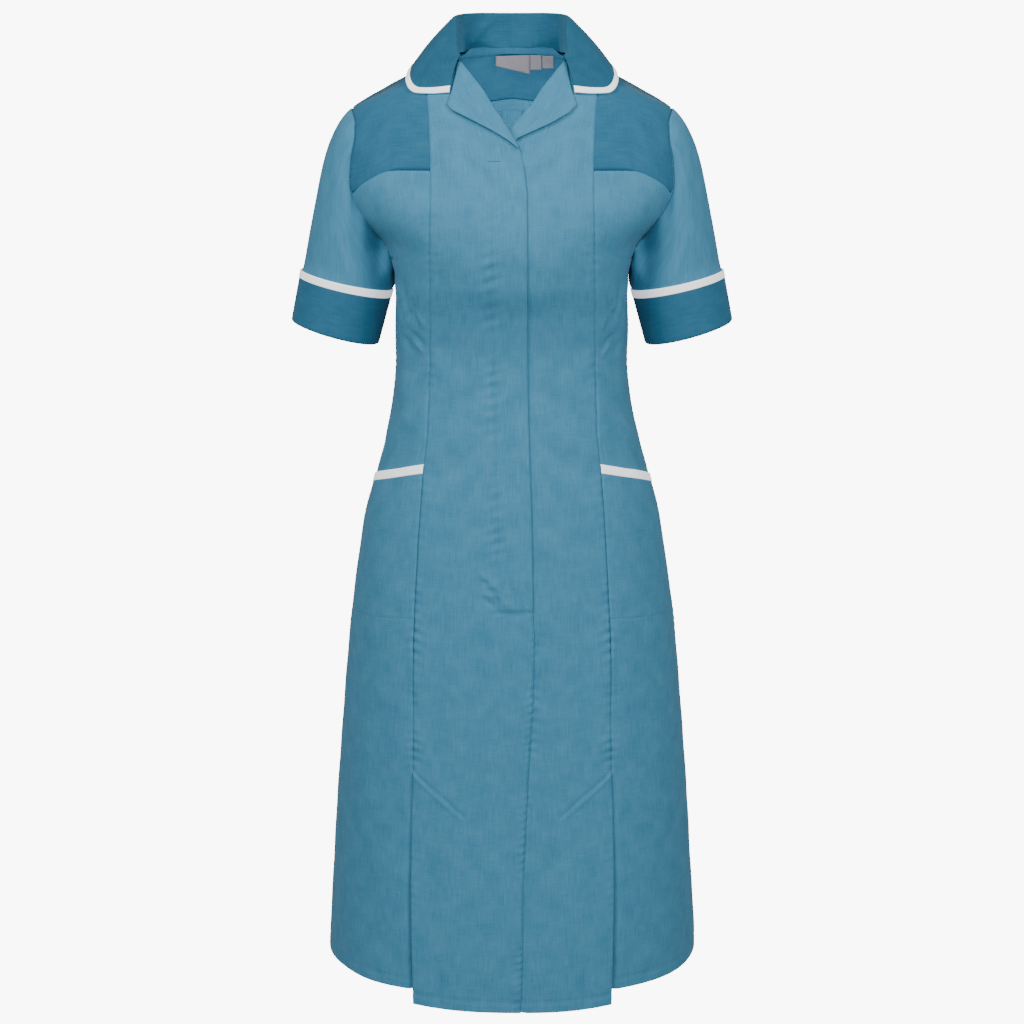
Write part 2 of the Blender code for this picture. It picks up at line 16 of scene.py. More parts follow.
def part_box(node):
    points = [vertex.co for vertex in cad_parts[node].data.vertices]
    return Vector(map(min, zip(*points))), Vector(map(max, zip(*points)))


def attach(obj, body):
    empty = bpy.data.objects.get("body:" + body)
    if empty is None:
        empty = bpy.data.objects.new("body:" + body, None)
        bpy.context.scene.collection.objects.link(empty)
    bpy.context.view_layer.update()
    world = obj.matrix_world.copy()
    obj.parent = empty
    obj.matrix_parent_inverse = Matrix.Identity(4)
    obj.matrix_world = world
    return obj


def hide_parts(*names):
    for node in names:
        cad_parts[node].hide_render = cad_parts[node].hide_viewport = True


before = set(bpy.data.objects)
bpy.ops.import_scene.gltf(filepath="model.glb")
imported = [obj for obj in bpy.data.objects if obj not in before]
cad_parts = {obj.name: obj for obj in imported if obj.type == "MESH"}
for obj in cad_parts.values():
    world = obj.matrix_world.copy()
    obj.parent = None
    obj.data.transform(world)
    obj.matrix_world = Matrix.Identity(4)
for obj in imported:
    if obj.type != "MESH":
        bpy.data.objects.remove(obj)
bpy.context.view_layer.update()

MM = 0.001
CLOTH = 0.7 * MM  # one layer of poplin
TWO_LAYERS = 1.3 * MM  # collar, revers and cuffs, with their interlining
LAP = 1.9 * MM  # from the form to the outer side of cloth lapped over it
SIDE = math.pi / 2
BACK = math.pi
END = {-1: "right", 1: "left"}  # a side's name: +X is the wearer's left

HEM_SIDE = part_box("back_left")[0][2]
HEM_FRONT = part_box("front_right")[0][2]
HEM_FRONT_RISE = 0.004
NECK_POINT = 0.0030
NAPE = 0.0086
SHOULDER_TIP = -0.0543
UNDERARM = -0.2210
YOKE_SEAM = (-0.1174, -0.1457)
BACK_YOKE_SEAM = (-0.0880, -0.0474)
PLEAT_TOP = -0.778
PLEAT_STITCH_LOW = -0.832
PLEAT_CORNER = 0.1111  # where the stitching over a kick pleat starts
PLEAT_LINE = (0.0629, -0.0541)  # how far it goes in, and down
HEM_DEPTH = 0.0125  # from the hem up to its stitching
FLY_END = -0.5955
FLY_WIDTH = 0.0395
POCKET_TOP = (-0.4374, -0.4660)
POCKET_BOTTOM = (-0.610, -0.625)
BINDING = 9.5 * MM  # white binding on the pockets and cuffs

FLOOR_RADIUS = 0.80
FLOOR_HEIGHT = -1.55
BACKDROP = 9.0  # strength of the backdrop as the camera sees it
AMBIENT = 0.33  # strength of the light that it gives the dress
LIGHT_TARGET = (0, 0, -0.36)
# name, place, size, power in watts
LIGHTS = (
    ("key", (-1.2, -1.35, 1.35), 0.7, 36),
    ("fill", (1.3, -1.45, 1.15), 0.8, 30.5),
    ("front", (0.0, -1.9, 0.15), 1.2, 13.5),
)
CAMERA_PLACE = (0, -2.40, 0)
CAMERA_TARGET = (0, 0, -0.511)

# --- The form ---

# height, half width, front depth, back depth
SECTIONS = np.array([
    (-1.060, 0.2185, 0.1700, 0.1700),
    (-1.024, 0.2173, 0.1680, 0.1680),
    (-0.923, 0.2107, 0.1600, 0.1600),
    (-0.822, 0.2031, 0.1515, 0.1520),
    (-0.724, 0.1956, 0.1440, 0.1450),
    (-0.627, 0.1859, 0.1365, 0.1370),
    (-0.556, 0.1755, 0.1310, 0.1300),
    (-0.509, 0.1679, 0.1265, 0.1250),
    (-0.462, 0.1556, 0.1210, 0.1170),
    (-0.415, 0.1426, 0.1145, 0.1060),
    (-0.369, 0.1341, 0.1085, 0.0950),
    (-0.323, 0.1302, 0.1065, 0.0900),
    (-0.278, 0.1300, 0.1150, 0.0950),
    (-0.240, 0.1312, 0.1290, 0.1040),
    (-0.205, 0.1400, 0.1340, 0.1110),
    (-0.165, 0.1770, 0.1270, 0.1140),
    (-0.134, 0.1925, 0.1130, 0.1130),
    (-0.100, 0.1930, 0.0980, 0.1080),
    (-0.072, 0.1870, 0.0860, 0.1010),
    (-0.0543, 0.1769, 0.0785, 0.0955),
    (-0.0433, 0.1613, 0.0725, 0.0900),
    (-0.0347, 0.1457, 0.0670, 0.0850),
    (-0.0260, 0.1300, 0.0620, 0.0800),
    (-0.0185, 0.1150, 0.0575, 0.0755),
    (-0.0080, 0.0890, 0.0520, 0.0690),
    (0.0030, 0.0625, 0.0450, 0.0625),
    (0.0090, 0.0520, 0.0420, 0.0600),
]).T
SQUARE = 0.10

# height, distance from the middle
PRINCESS = [
    (-1.060, 0.1095), (-0.970, 0.1111), (-0.908, 0.1118), (-0.784, 0.1106), (-0.647, 0.1095),
    (-0.544, 0.1052), (-0.454, 0.0989), (-0.398, 0.0940), (-0.277, 0.0898), (-0.202, 0.0888),
    (-0.120, 0.0876), (-0.065, 0.0897), (-0.037, 0.0922), (-0.0083, 0.0950),
]
FRONT_EDGE = [
    (-1.060, 0.0090), (-0.988, 0.0113), (-0.904, 0.0124), (-0.833, 0.0156), (-0.763, 0.0189),
    (-0.693, 0.0232), (-0.625, 0.0245), (-0.602, 0.0233), (-0.531, 0.0221), (-0.442, 0.0197),
    (-0.364, 0.0174), (-0.255, 0.0162), (-0.148, 0.0160), (-0.125, 0.0142), (-0.107, 0.0113),
    (-0.097, 0.0090), (-0.0775, -0.0019), (-0.0484, -0.0216), (-0.0340, -0.0306),
    (-0.0211, -0.0411), (-0.0037, -0.0560), (0.0030, -0.0622),
]
ARMHOLE = [
    (-0.2210, 0.1370), (-0.2100, 0.1355), (-0.2037, 0.1372), (-0.1883, 0.1492), (-0.1653, 0.1643),
    (-0.1489, 0.1730), (-0.1336, 0.1765), (-0.1097, 0.1752), (-0.0838, 0.1715), (-0.0697, 0.1715),
    (SHOULDER_TIP, 0.1769),
]


def mix(a, b, share):
    return a + (b - a) * share


def sides(side):
    """What points are multiplied by to put each on its own side."""
    return np.stack([side, 1 + 0 * side, 1 + 0 * side], -1)


def ease(low, high, at):
    """0 below low, 1 above high, smooth between."""
    share = np.clip((at - low) / (high - low), 0, 1)
    return share * share * (3 - 2 * share)


def smooth(knots, values, at):
    """A smooth curve through the rows of a table that never overshoots them."""
    x, y = np.asarray(knots, float), np.asarray(values, float)
    at = np.clip(at, x[0], x[-1])
    slope = np.diff(y) / np.diff(x)
    before, after = slope[:-1], slope[1:]
    bend = before * after
    tangent = np.empty(len(x))
    tangent[0], tangent[-1] = slope[0], slope[-1]
    harmonic = 2 * bend / np.where(bend > 0, before + after, 1)
    tangent[1:-1] = np.where(bend > 0, harmonic, 0)
    i = np.clip(np.searchsorted(x, at) - 1, 0, len(x) - 2)
    span = x[i + 1] - x[i]
    s = (at - x[i]) / span
    start = (1 + 2 * s) * y[i] + s * span * tangent[i]
    stop = (3 - 2 * s) * y[i + 1] + (s - 1) * span * tangent[i + 1]
    return (1 - s) ** 2 * start + s**2 * stop


def along(table, height):
    rows = np.array(table)
    return smooth(rows[:, 0], rows[:, 1], height)


def half_width(height):
    return smooth(SECTIONS[0], SECTIONS[1], height)


def front_edge(height):
    return along(FRONT_EDGE, height)


ANGLES = np.linspace(0, SIDE, 2000)
SIDE_SHARE = np.sin(ANGLES) * (1 + SQUARE * np.cos(ANGLES) ** 2)


def angle_at(x, height):
    """The front angle at which the section of that height is x from the middle."""
    return np.interp(np.abs(x) / half_width(height), SIDE_SHARE, ANGLES) * np.sign(x)


def skin(angle, height):
    """Points of the form itself."""
    front = smooth(SECTIONS[0], SECTIONS[2], height)
    back = smooth(SECTIONS[0], SECTIONS[3], height)
    sine, cosine = np.sin(angle), np.cos(angle)
    depth = np.where(cosine > 0, front, back)
    x = half_width(height) * sine * (1 + SQUARE * cosine**2)
    y = -depth * cosine * (1 + SQUARE * sine**2)
    return np.stack([x, y, height + 0 * x], axis=-1)


def normal_of(surface, a, b, step):
    """Unit normal of surface(a, b), by small steps both ways."""
    across = surface(a + step, b) - surface(a - step, b)
    up = surface(a, b + step) - surface(a, b - step)
    normal = np.cross(across, up)
    return normal / np.linalg.norm(normal, axis=-1, keepdims=True)


def body(angle, height, out=0.0):
    """Points of the form, moved out along its normal."""
    angle, height = np.broadcast_arrays(np.asarray(angle, float), height)
    return skin(angle, height) + normal_of(skin, angle, height, 1e-4) * np.asarray(out)[..., None]


# --- How the cloth lies ---

# Creases of the front: from (x, z) to (x, z), bow sideways, half breadth and height in mm. A
# minus height is a trough.
FRONT_CREASES = [
    # beside the hem's stitching, and the light folds over the hips
    (-0.0675, -1.026, -0.0668, -1.046, 0.0, 2.6, -0.9),
    (0.0647, -1.026, 0.0642, -1.046, 0.0, 2.6, -0.9),
    (-0.1120, -0.340, -0.1150, -0.405, 4, 9.0, 2.6),
    # from the underarm, down and in along the side front
    (-0.130, -0.226, -0.100, -0.335, 7, 7, -1.9),
    (0.130, -0.226, 0.101, -0.330, -7, 7, -1.8),
    (-0.133, -0.236, -0.113, -0.290, -3, 5, 1.5),
    (0.133, -0.238, 0.112, -0.295, 3, 5, 1.4),
    # soft zigzag where the waist is nipped in, beside the princess seams
    (-0.119, -0.234, -0.110, -0.284, 2, 3.1, -2.1),
    (-0.112, -0.266, -0.096, -0.288, -2, 2.9, 1.8),
    (-0.117, -0.282, -0.107, -0.266, 1, 2.7, -1.6),
    (-0.108, -0.254, -0.101, -0.296, 1, 2.8, -1.8),
    (-0.123, -0.266, -0.115, -0.304, 2, 3.5, 1.7),
    (-0.113, -0.294, -0.097, -0.309, -2, 2.9, -2.1),
    (-0.111, -0.304, -0.097, -0.318, -2, 2.7, 1.7),
    (-0.118, -0.300, -0.110, -0.318, 1, 2.9, -1.4),
    (0.118, -0.238, 0.110, -0.286, -2, 3.1, -2.1),
    (0.113, -0.262, 0.098, -0.292, 2, 2.9, 1.8),
    (0.118, -0.284, 0.108, -0.268, -1, 2.7, -1.6),
    (0.107, -0.256, 0.100, -0.300, -1, 2.8, -1.8),
    (0.123, -0.270, 0.116, -0.308, -2, 3.5, 1.7),
    (0.114, -0.296, 0.098, -0.313, 2, 2.9, -2.1),
    (0.110, -0.308, 0.098, -0.322, 2, 2.7, 1.7),
    (0.119, -0.304, 0.111, -0.322, -1, 2.9, -1.4),
    # drag lines fanning out over the hips, from the seams towards the fly
    (-0.094, -0.432, -0.036, -0.372, 6, 9, 2.2),
    (-0.090, -0.455, -0.030, -0.410, 5, 9, -1.8),
    (-0.070, -0.378, -0.030, -0.345, 3, 8, -1.4),
    (0.094, -0.430, 0.034, -0.376, -6, 9, 2.1),
    (0.091, -0.452, 0.028, -0.408, -5, 9, -1.8),
    (0.072, -0.380, 0.028, -0.350, -3, 8, -1.4),
    (-0.104, -0.400, -0.128, -0.450, 4, 8, -2.2),
    (-0.116, -0.385, -0.139, -0.430, 4, 7, 2.0),
    (0.104, -0.402, 0.129, -0.452, -4, 8, -2.2),
    (0.117, -0.388, 0.140, -0.434, -4, 7, 2.0),
    # pulls into the end of the fly
    (-0.036, -0.550, -0.012, -0.572, 2, 2.9, 2.0),
    (-0.031, -0.557, -0.009, -0.586, 2, 2.9, -2.2),
    (-0.026, -0.566, -0.002, -0.590, 1, 2.7, 1.9),
    (-0.033, -0.578, -0.014, -0.592, 1, 2.7, -1.9),
    (-0.034, -0.560, -0.020, -0.563, 1, 2.3, -1.5),
    (-0.031, -0.574, -0.018, -0.578, 1, 2.3, 1.4),
    (-0.010, -0.600, 0.012, -0.600, -1, 3.5, -1.4),
    (0.003, -0.569, 0.004, -0.594, 1, 2.5, -1.9),
    # where the panels hang off the pleats' stitching
    (-0.108, -0.655, -0.101, -0.700, 2, 5, 1.3),
    (0.107, -0.640, 0.101, -0.695, -2, 5, 1.3),
    (-0.108, -0.700, -0.098, -0.735, 2, 4, -1.1),
    (0.108, -0.712, 0.099, -0.740, -2, 4, -1.1),
    (-0.084, -0.985, -0.081, -1.050, 1, 5, -1.6),
    (0.083, -0.975, 0.081, -1.050, -1, 5, -1.6),
    (-0.060, -0.860, -0.066, -1.020, 4, 16, 1.6),
    (0.056, -0.880, 0.062, -1.030, -4, 16, 1.5),
    # bust, soft fullness above the waist
    (-0.060, -0.205, -0.030, -0.270, 8, 16, -0.9),
    (0.064, -0.200, 0.040, -0.280, -8, 16, -0.9),
]

# The same for the back, which hangs as freely.
BACK_CREASES = [
    (-0.125, -0.226, -0.085, -0.330, 8, 9, -1.9),
    (0.125, -0.226, 0.088, -0.322, -8, 9, -1.8),
    (-0.105, -0.330, -0.030, -0.352, 5, 8, -1.5),
    (0.108, -0.322, 0.034, -0.346, -5, 8, -1.4),
    (-0.100, -0.300, -0.036, -0.318, 4, 8, 1.3),
    (0.100, -0.296, 0.040, -0.315, -4, 8, 1.2),
    (-0.095, -0.372, -0.040, -0.420, 5, 10, 1.2),
    (0.098, -0.368, 0.036, -0.425, -5, 10, 1.2),
    (-0.060, -0.560, -0.078, -1.010, 9, 22, 2.0),
    (0.064, -0.540, 0.080, -1.020, -9, 22, 2.0),
    (-0.130, -0.640, -0.150, -1.020, 6, 20, 1.6),
    (0.132, -0.650, 0.150, -1.025, -6, 20, 1.6),
    (-0.020, -0.700, -0.024, -1.020, 4, 14, -1.5),
    (0.022, -0.690, 0.028, -1.020, -4, 14, -1.5),
]


def creases(table, x, z):
    """Height of the creases of a table at that place."""
    rise = np.zeros(np.shape(x))
    for x0, z0, x1, z1, bow, breadth, height in table:
        run, fall = x1 - x0, z1 - z0
        length = math.hypot(run, fall)
        share = ((x - x0) * run + (z - z0) * fall) / length**2
        inside = np.clip(share, 0, 1)
        away = ((x - x0) * fall - (z - z0) * run) / length - bow * MM * 4 * inside * (1 - inside)
        past = np.maximum(np.abs(share - 0.5) - 0.5, 0) * length
        taper = (4 * inside * (1 - inside)) ** 0.7
        reach = (away / (breadth * MM)) ** 2 + (past / (breadth * MM)) ** 2
        rise = rise + height * MM * np.exp(-reach) * taper
    return rise


def ripple(seed, a, b, size):
    """A gentle unevenness, about -1 to 1, whose hills are about size metres across."""
    dice = np.random.default_rng(seed)
    total = np.zeros(np.broadcast(a, b).shape)
    for _ in range(7):
        turn, phase = dice.uniform(0, 2 * math.pi, 2)
        wave = size * dice.uniform(1.4, 3.2)
        total = total + np.sin((a * math.cos(turn) + b * math.sin(turn)) * 2 * math.pi / wave + phase)
    return total / 3.0


def puckers(seed, distance, length, pitch=0.009, reach=0.007):
    """Small pulls beside a stitched line: distance from it, length along it."""
    dice = np.random.default_rng(seed)
    warp = length + 0.003 * np.sin(length / 0.029 + dice.uniform(0, 6)) + 0.35 * distance
    wave = np.sin(warp * 2 * math.pi / pitch + dice.uniform(0, 6))
    strong = 0.5 + 0.35 * np.sin(length / 0.023 + dice.uniform(0, 6)) + 0.25 * np.sin(length / 0.0094)
    return wave * strong * np.exp(-((distance / reach) ** 2))


def groove(distance, depth=1.2, reach=1.3):
    """The turned edge of a piece, going down into its seam."""
    return -depth * MM * np.exp(-((distance / (reach * MM)) ** 2))


def body_relief(angle, height):
    """What lifts the cloth of the whole body off its form; angle runs on past the back."""
    x = skin(angle, height)[..., 0]
    round_way = angle * 0.16
    skirt = ease(0.45, 1.0, -height)
    rise = 0.50 * MM * ripple(3, round_way, height * 0.7, 0.030)
    rise = rise + 0.9 * MM * ripple(4, round_way, height * 0.45, 0.075)
    rise = rise + skirt * 2.2 * MM * ripple(5, round_way, height * 0.12, 0.085)
    rise = rise * mix(0.3, 1, ease(0.07, 0.16, -height))
    fullness = np.exp(-(((height + 0.285) / 0.045) ** 2)) * np.exp(-(((SIDE - np.abs(angle)) / 0.45) ** 2))
    folds = np.where(
        np.cos(angle) > 0, creases(FRONT_CREASES, x, height), creases(BACK_CREASES, x, height)
    )
    return rise + folds + 2.4 * MM * fullness


# --- Making cloth ---


def lines(length, step=0.0024, first=True, last=True):
    """Where a grid's lines lie along a length, as shares: close together at a sewn edge."""
    edge = np.array([0, 0.5, 1.1, 1.9, 2.9, 4.2]) * MM
    start = edge if first else edge[:1]
    stop = length - edge[::-1] if last else np.array([length])
    count = max(2, round((stop[0] - start[-1]) / step))
    middle = np.linspace(start[-1], stop[0], count + 1)
    return np.concatenate([start, middle[1:-1], stop]) / length


def crest_lines(length, step=0.0024):
    """The same, closer and closer towards the shoulder seam, where the form turns over."""
    flat = lines(length - 0.010, step, True, False) * (length - 0.010)
    turn = length - 0.010 * np.linspace(1, 0, 19)[1:] ** 2
    return np.concatenate([flat, turn]) / length


def cloth(name, place, across, up, finish, nodes, thick=CLOTH, flip=False, tube=False, offset=-1):
    """A sheet of cloth: place(across, up) gives its points, and its UVs are its flat cut in metres."""
    material, slot = finish
    grid = bmesh.new()
    bmesh.ops.create_grid(grid, x_segments=len(across) - 1, y_segments=len(up) - 1, size=0.5)
    data = bpy.data.meshes.new(name)
    grid.to_mesh(data)
    grid.free()
    a, b = (g.ravel() for g in np.meshgrid(across, up))
    points = place(a, b)
    data.vertices.foreach_set("co", points.ravel())
    rows = points.reshape(len(up), len(across), 3)
    run = np.linalg.norm(np.diff(rows, axis=1), axis=-1)
    climb = np.linalg.norm(np.diff(rows, axis=0), axis=-1)
    u = np.pad(np.cumsum(run, axis=1), ((0, 0), (1, 0)))
    u = u - u[:, [len(across) // 2]]
    v = np.pad(np.cumsum(climb, axis=0), ((1, 0), (0, 0)))
    corners = np.empty(len(data.loops), dtype=int)
    data.loops.foreach_get("vertex_index", corners)
    layer = data.uv_layers.new(name="UVMap")
    layer.data.foreach_set("uv", np.stack([u.ravel(), v.ravel()], -1)[corners].ravel())
    shell = bmesh.new()
    shell.from_mesh(data)
    if tube:
        bmesh.ops.remove_doubles(shell, verts=shell.verts, dist=1e-6)
    if flip:
        bmesh.ops.reverse_faces(shell, faces=shell.faces)
    area = sum(face.calc_area() for face in shell.faces)
    shell.to_mesh(data)
    shell.free()
    data.shade_smooth()
    piece = bpy.data.objects.new(name, data)
    bpy.context.scene.collection.objects.link(piece)
    data.materials.append(material)
    wall = piece.modifiers.new("wall", "SOLIDIFY")
    wall.thickness = thick
    wall.offset = offset
    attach(piece, "root")
    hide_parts(*nodes)
    return piece


# --- Finishes ---


def shade(code):
    """An sRGB hex colour as linear red, green, blue and alpha."""
    srgb = np.array([int(code[i : i + 2], 16) for i in (1, 3, 5)]) / 255
    linear = np.where(srgb <= 0.04045, srgb / 12.92, ((srgb + 0.055) / 1.055) ** 2.4)
    return (*linear, 1)


def node(tree, kind, links=(), **settings):
    """Adds a node. settings are its own properties, or values of its sockets as in_NAME or in_0;
    links are (input, node, output)."""
    made = tree.nodes.new(kind)
    for key, value in settings.items():
        if key.startswith("in_"):
            socket = key[3:]
            made.inputs[int(socket) if socket.isdigit() else socket.replace("_", " ")].default_value = value
        else:
            setattr(made, key, value)
    for socket, source, output in links:
        tree.links.new(source.outputs[output], made.inputs[socket])
    return made


def woven(name, dark, light, streak_mm=1.3, roughness=0.82, sheen=0.12, turned=False, bump=0.35, glow=0.0):
    """Plain-weave cloth. Uneven threads give fine streaks along the warp and fainter ones across;
    the real threads are 0.3 mm apart, so the streaks are drawn broader for them to show."""
    made = bpy.data.materials.new(name)
    made.use_nodes = True
    tree = made.node_tree
    shader = tree.nodes["Principled BSDF"]
    coords = node(tree, "ShaderNodeTexCoord")
    turn = (0, 0, math.radians(90)) if turned else (0, 0, 0)
    in_mm = node(
        tree, "ShaderNodeMapping", [("Vector", coords, "UV")], in_Scale=(1000, 1000, 1000), in_Rotation=turn
    )
    warp_way = node(
        tree, "ShaderNodeMapping", [("Vector", in_mm, "Vector")], in_Scale=(1 / streak_mm, 1 / 24, 1)
    )
    weft_way = node(
        tree, "ShaderNodeMapping", [("Vector", in_mm, "Vector")], in_Scale=(1 / 17, 1 / streak_mm, 1)
    )
    warp = node(tree, "ShaderNodeTexNoise", [("Vector", warp_way, "Vector")], in_Scale=1.0, in_Detail=3.0)
    weft = node(tree, "ShaderNodeTexNoise", [("Vector", weft_way, "Vector")], in_Scale=1.0, in_Detail=3.0)
    cloud = node(tree, "ShaderNodeTexNoise", [("Vector", in_mm, "Vector")], in_Scale=1 / 22, in_Detail=4.0)
    threads = node(
        tree, "ShaderNodeMix", [("A", warp, "Fac"), ("B", weft, "Fac")], in_Factor=0.38
    )
    uneven = node(
        tree, "ShaderNodeMix", [("A", threads, "Result"), ("B", cloud, "Fac")], in_Factor=0.35
    )
    spread = node(
        tree, "ShaderNodeMapRange", [("Value", uneven, "Result")], in_1=0.36, in_2=0.64
    )
    colour = node(tree, "ShaderNodeMix", [("Factor", spread, "Result")], data_type="RGBA")
    colour.inputs["A"].default_value = shade(dark)
    colour.inputs["B"].default_value = shade(light)
    raised = node(
        tree, "ShaderNodeBump", [("Height", threads, "Result")], in_Strength=bump, in_Distance=0.0006
    )
    tree.links.new(colour.outputs["Result"], shader.inputs["Base Color"])
    tree.links.new(raised.outputs["Normal"], shader.inputs["Normal"])
    shader.inputs["Roughness"].default_value = roughness
    shader.inputs["Specular IOR Level"].default_value = 0.12
    shader.inputs["Sheen Weight"].default_value = sheen
    shader.inputs["Sheen Roughness"].default_value = 0.45
    shader.inputs["Sheen Tint"].default_value = shade("#A9CBDD")
    # Emission in the cloth's own light colour: where glow is above 0 this is painted light, a glow that no
    # lamp gives.
    shader.inputs["Emission Color"].default_value = shade(light)
    shader.inputs["Emission Strength"].default_value = glow
    return made


# Plain-weave polycotton poplin: matt, with fine pale and dark threads up and down.
POPLIN = (woven("hospital_blue_poplin", "#397797", "#4C8AA9"), "hospital_blue")
# The same cloth dyed a shade deeper, with its threads running across the body.
CONTRAST = (
    woven("contrast_blue_poplin_cut_across", "#275E7C", "#346C89", turned=True), "contrast_blue"
)
# The deeper cloth of the collar, which is interlined; this copy of it is drawn darker still as painted
# shade, where the collar's fall turns away from the lamps.
COLLAR_SHADED_CLOTH = (
    woven("contrast_blue_poplin_painted_shade", "#1F526D", "#2B5F79", turned=True), "contrast_blue"
)
# Folded cotton tape, the brightest cloth of the dress; its glow is painted light, which makes it brighter
# than the lamps alone do.
WHITE = (
    woven(
        "white_cotton_binding_painted_glow", "#F4F4F8", "#FDFDFF", streak_mm=0.9, sheen=0.1, bump=0.25, glow=0.55
    ),
    "white_binding",
)
# Woven satin, smoother than the poplin, so that it catches a soft shine.
LABEL = (
    woven("grey_satin_label", "#77737A", "#868289", streak_mm=0.6, roughness=0.5, sheen=0.0),
    "grey_label",
)
# Sewing thread: the pale one shows in the bars; the dark one is drawn darker than the cloth as painted
# shade of the stitched grooves.
PALE_THREAD = woven(
    "pale_blue_sewing_thread", "#6FA3BC", "#86B6CC", streak_mm=0.4, roughness=0.7
)
SHADED_THREAD = woven("blue_sewing_thread", "#2F6885", "#3F7B98", streak_mm=0.4, roughness=0.7)


# --- Seam lines ---


def princess(height):
    return along(PRINCESS, height)


def armhole_angle(height):
    """Front edge of the armhole, and the side seam below it."""
    hole = angle_at(along(ARMHOLE, height), height)
    return np.where(height > UNDERARM + 1e-6, np.minimum(hole, SIDE), SIDE)


def crest(line_a, line_b, share):
    """Height at which the line that far between two lines meets the shoulder's ridge."""
    heights = np.linspace(-0.10, NECK_POINT, 600)
    unique, back_to = np.unique(share, return_inverse=True)
    tops = [
        np.interp(0, mix(line_a(heights), line_b(heights), s) - half_width(heights), heights)
        for s in unique
    ]
    return np.array(tops)[back_to]


# --- Fronts ---


def place_on_body(angle, height, lift, side):
    return body(angle, height, lift) * (side, 1, 1)


def pleat_lift(height):
    return 3.4 * MM * ease(-PLEAT_TOP - 0.02, -HEM_SIDE, -height)


def front_side(height):
    """The front panel's outer edge: the princess seam, and below it the fold of the kick pleat."""
    return princess(height) + 1.6 * MM * ease(-PLEAT_TOP, -PLEAT_TOP + 0.06, -height)


def front_lift(side, x, z):
    """How far a front panel stands off the form; x is measured to its own side."""
    over = side < 0
    to_seam = front_side(z) - x
    to_edge = x + front_edge(z)
    fold = ease(-PLEAT_TOP - 0.006, -PLEAT_TOP + 0.012, -z)
    rise = pleat_lift(z) + body_relief(angle_at(x, z) * side, z)
    rise = rise + groove(to_seam) * (1 - fold) + groove(to_seam, 0.9, 0.9) * fold
    busy = mix(0.35, 1, ease(0.50, 0.60, -z)) * (1 - ease(0.76, 0.80, -z)) + 0.3 * ease(0.80, 0.82, -z)
    rise = rise + 0.9 * MM * busy * puckers(11, to_seam, z, 0.011, 0.010) * ease(0.12, 0.20, -z)
    along_x, along_z = PLEAT_LINE
    share = ((PLEAT_CORNER - x) * along_x + (z - PLEAT_TOP) * along_z) / (along_x**2 + along_z**2)
    off = ((PLEAT_CORNER - x) * along_z - (z - PLEAT_TOP) * along_x) / math.hypot(along_x, along_z)
    on_line = ease(-0.02, 0.04, share) * (1 - ease(0.89, 0.95, share))
    rise = rise + on_line * (groove(off, 1.9, 1.2) + 1.2 * MM * np.exp(-(((off - 0.0034) / 0.0024) ** 2)))
    rise = rise + groove(z - front_hem(x) - HEM_DEPTH, 0.9, 1.5)
    if over:
        sewn = ease(0.105, 0.115, -z) * (1 - ease(-FLY_END, -FLY_END + 0.002, -z))
        below = ease(-FLY_END - 0.002, -FLY_END + 0.004, -z)
        stitched = to_edge - FLY_WIDTH
        rise = rise + sewn * 0.9 * MM * (1 - ease(-0.008, 0, stitched))
        rise = rise + sewn * groove(stitched, 1.5, 1.6)
        rise = rise + sewn * 0.8 * MM * puckers(13, stitched, z, 0.013, 0.009)
        rise = rise + groove(to_edge, 0.8, 1.2) + below * 0.8 * MM * puckers(12, to_edge, z, 0.0085, 0.008)
        ended = ease(-0.006, 0, FLY_WIDTH - to_edge) * groove(z - FLY_END, 1.8, 1.6)
        rise = rise + ended * (1 - ease(0, 0.004, stitched))
    else:
        edge = front_edge(z)
        rise = rise - 1.9 * MM * ease(-0.0085, -0.0020, edge - x) * ease(0.055, 0.079, -z)
        beside = ease(-FLY_END - 0.002, -FLY_END + 0.01, -z) * (1 - ease(0.80, 0.86, -z))
        pulls = puckers(12, np.maximum(x - edge, 0), z, 0.0115, 0.009)
        rise = rise + beside * 0.9 * MM * pulls * (x > edge)
    return rise


def on_front(side, x, z, out=0.0):
    return place_on_body(angle_at(x, z), z, front_lift(side, x, z) + out, side)


def front_hem(x):
    return HEM_FRONT + 0.001 + HEM_FRONT_RISE * (np.abs(x) / 0.112) ** 2


def front_panel(side):
    def place(across, up):
        top = crest(lambda height: -front_edge(height), princess, across)
        z = mix(front_hem(mix(-0.009, 0.112, across)), top, up)
        x = mix(-front_edge(z), front_side(z), across)
        return on_front(side, x, z)

    end = END[side]
    rows = crest_lines(1.05)
    cloth(f"{end}_front", place, lines(0.112), rows, POPLIN, [f"front_{end}"], flip=side < 0)


def yoke_drop(across):
    return smooth([0, 0.40, 0.66, 1], [0, 0.03, 0.36, 1], across)


def side_lift(side, across, z):
    """How far a side front stands off the form, at that share of its width."""
    seam, edge = angle_at(princess(z), z), armhole_angle(z)
    angle = mix(seam, edge, across)
    width = (edge - seam) * half_width(z) * 0.85
    to_seam, to_side = across * width, (1 - across) * width
    rise = body_relief(angle * side, z) + groove(to_seam) + groove(to_side, 0.5)
    busy = mix(0.5, 1, ease(0.50, 0.60, -z)) * (1 - ease(0.76, 0.80, -z))
    rise = rise + 0.6 * MM * busy * puckers(11, to_seam, z, 0.011, 0.007) * ease(0.12, 0.20, -z)
    rise = rise + 0.4 * MM * puckers(14, to_side, z)
    tucked = ease(-PLEAT_TOP, -PLEAT_TOP + 0.02, -z) * (1 - ease(0.001, 0.008, to_seam))
    deeper = ease(0.80, 1.03, -z)
    rise = rise + groove(z - HEM_SIDE - HEM_DEPTH, 0.9, 1.5)
    return angle, rise - mix(2.2, 4.4, deeper) * MM * tucked


POCKET_LIFT = 0.9 * MM


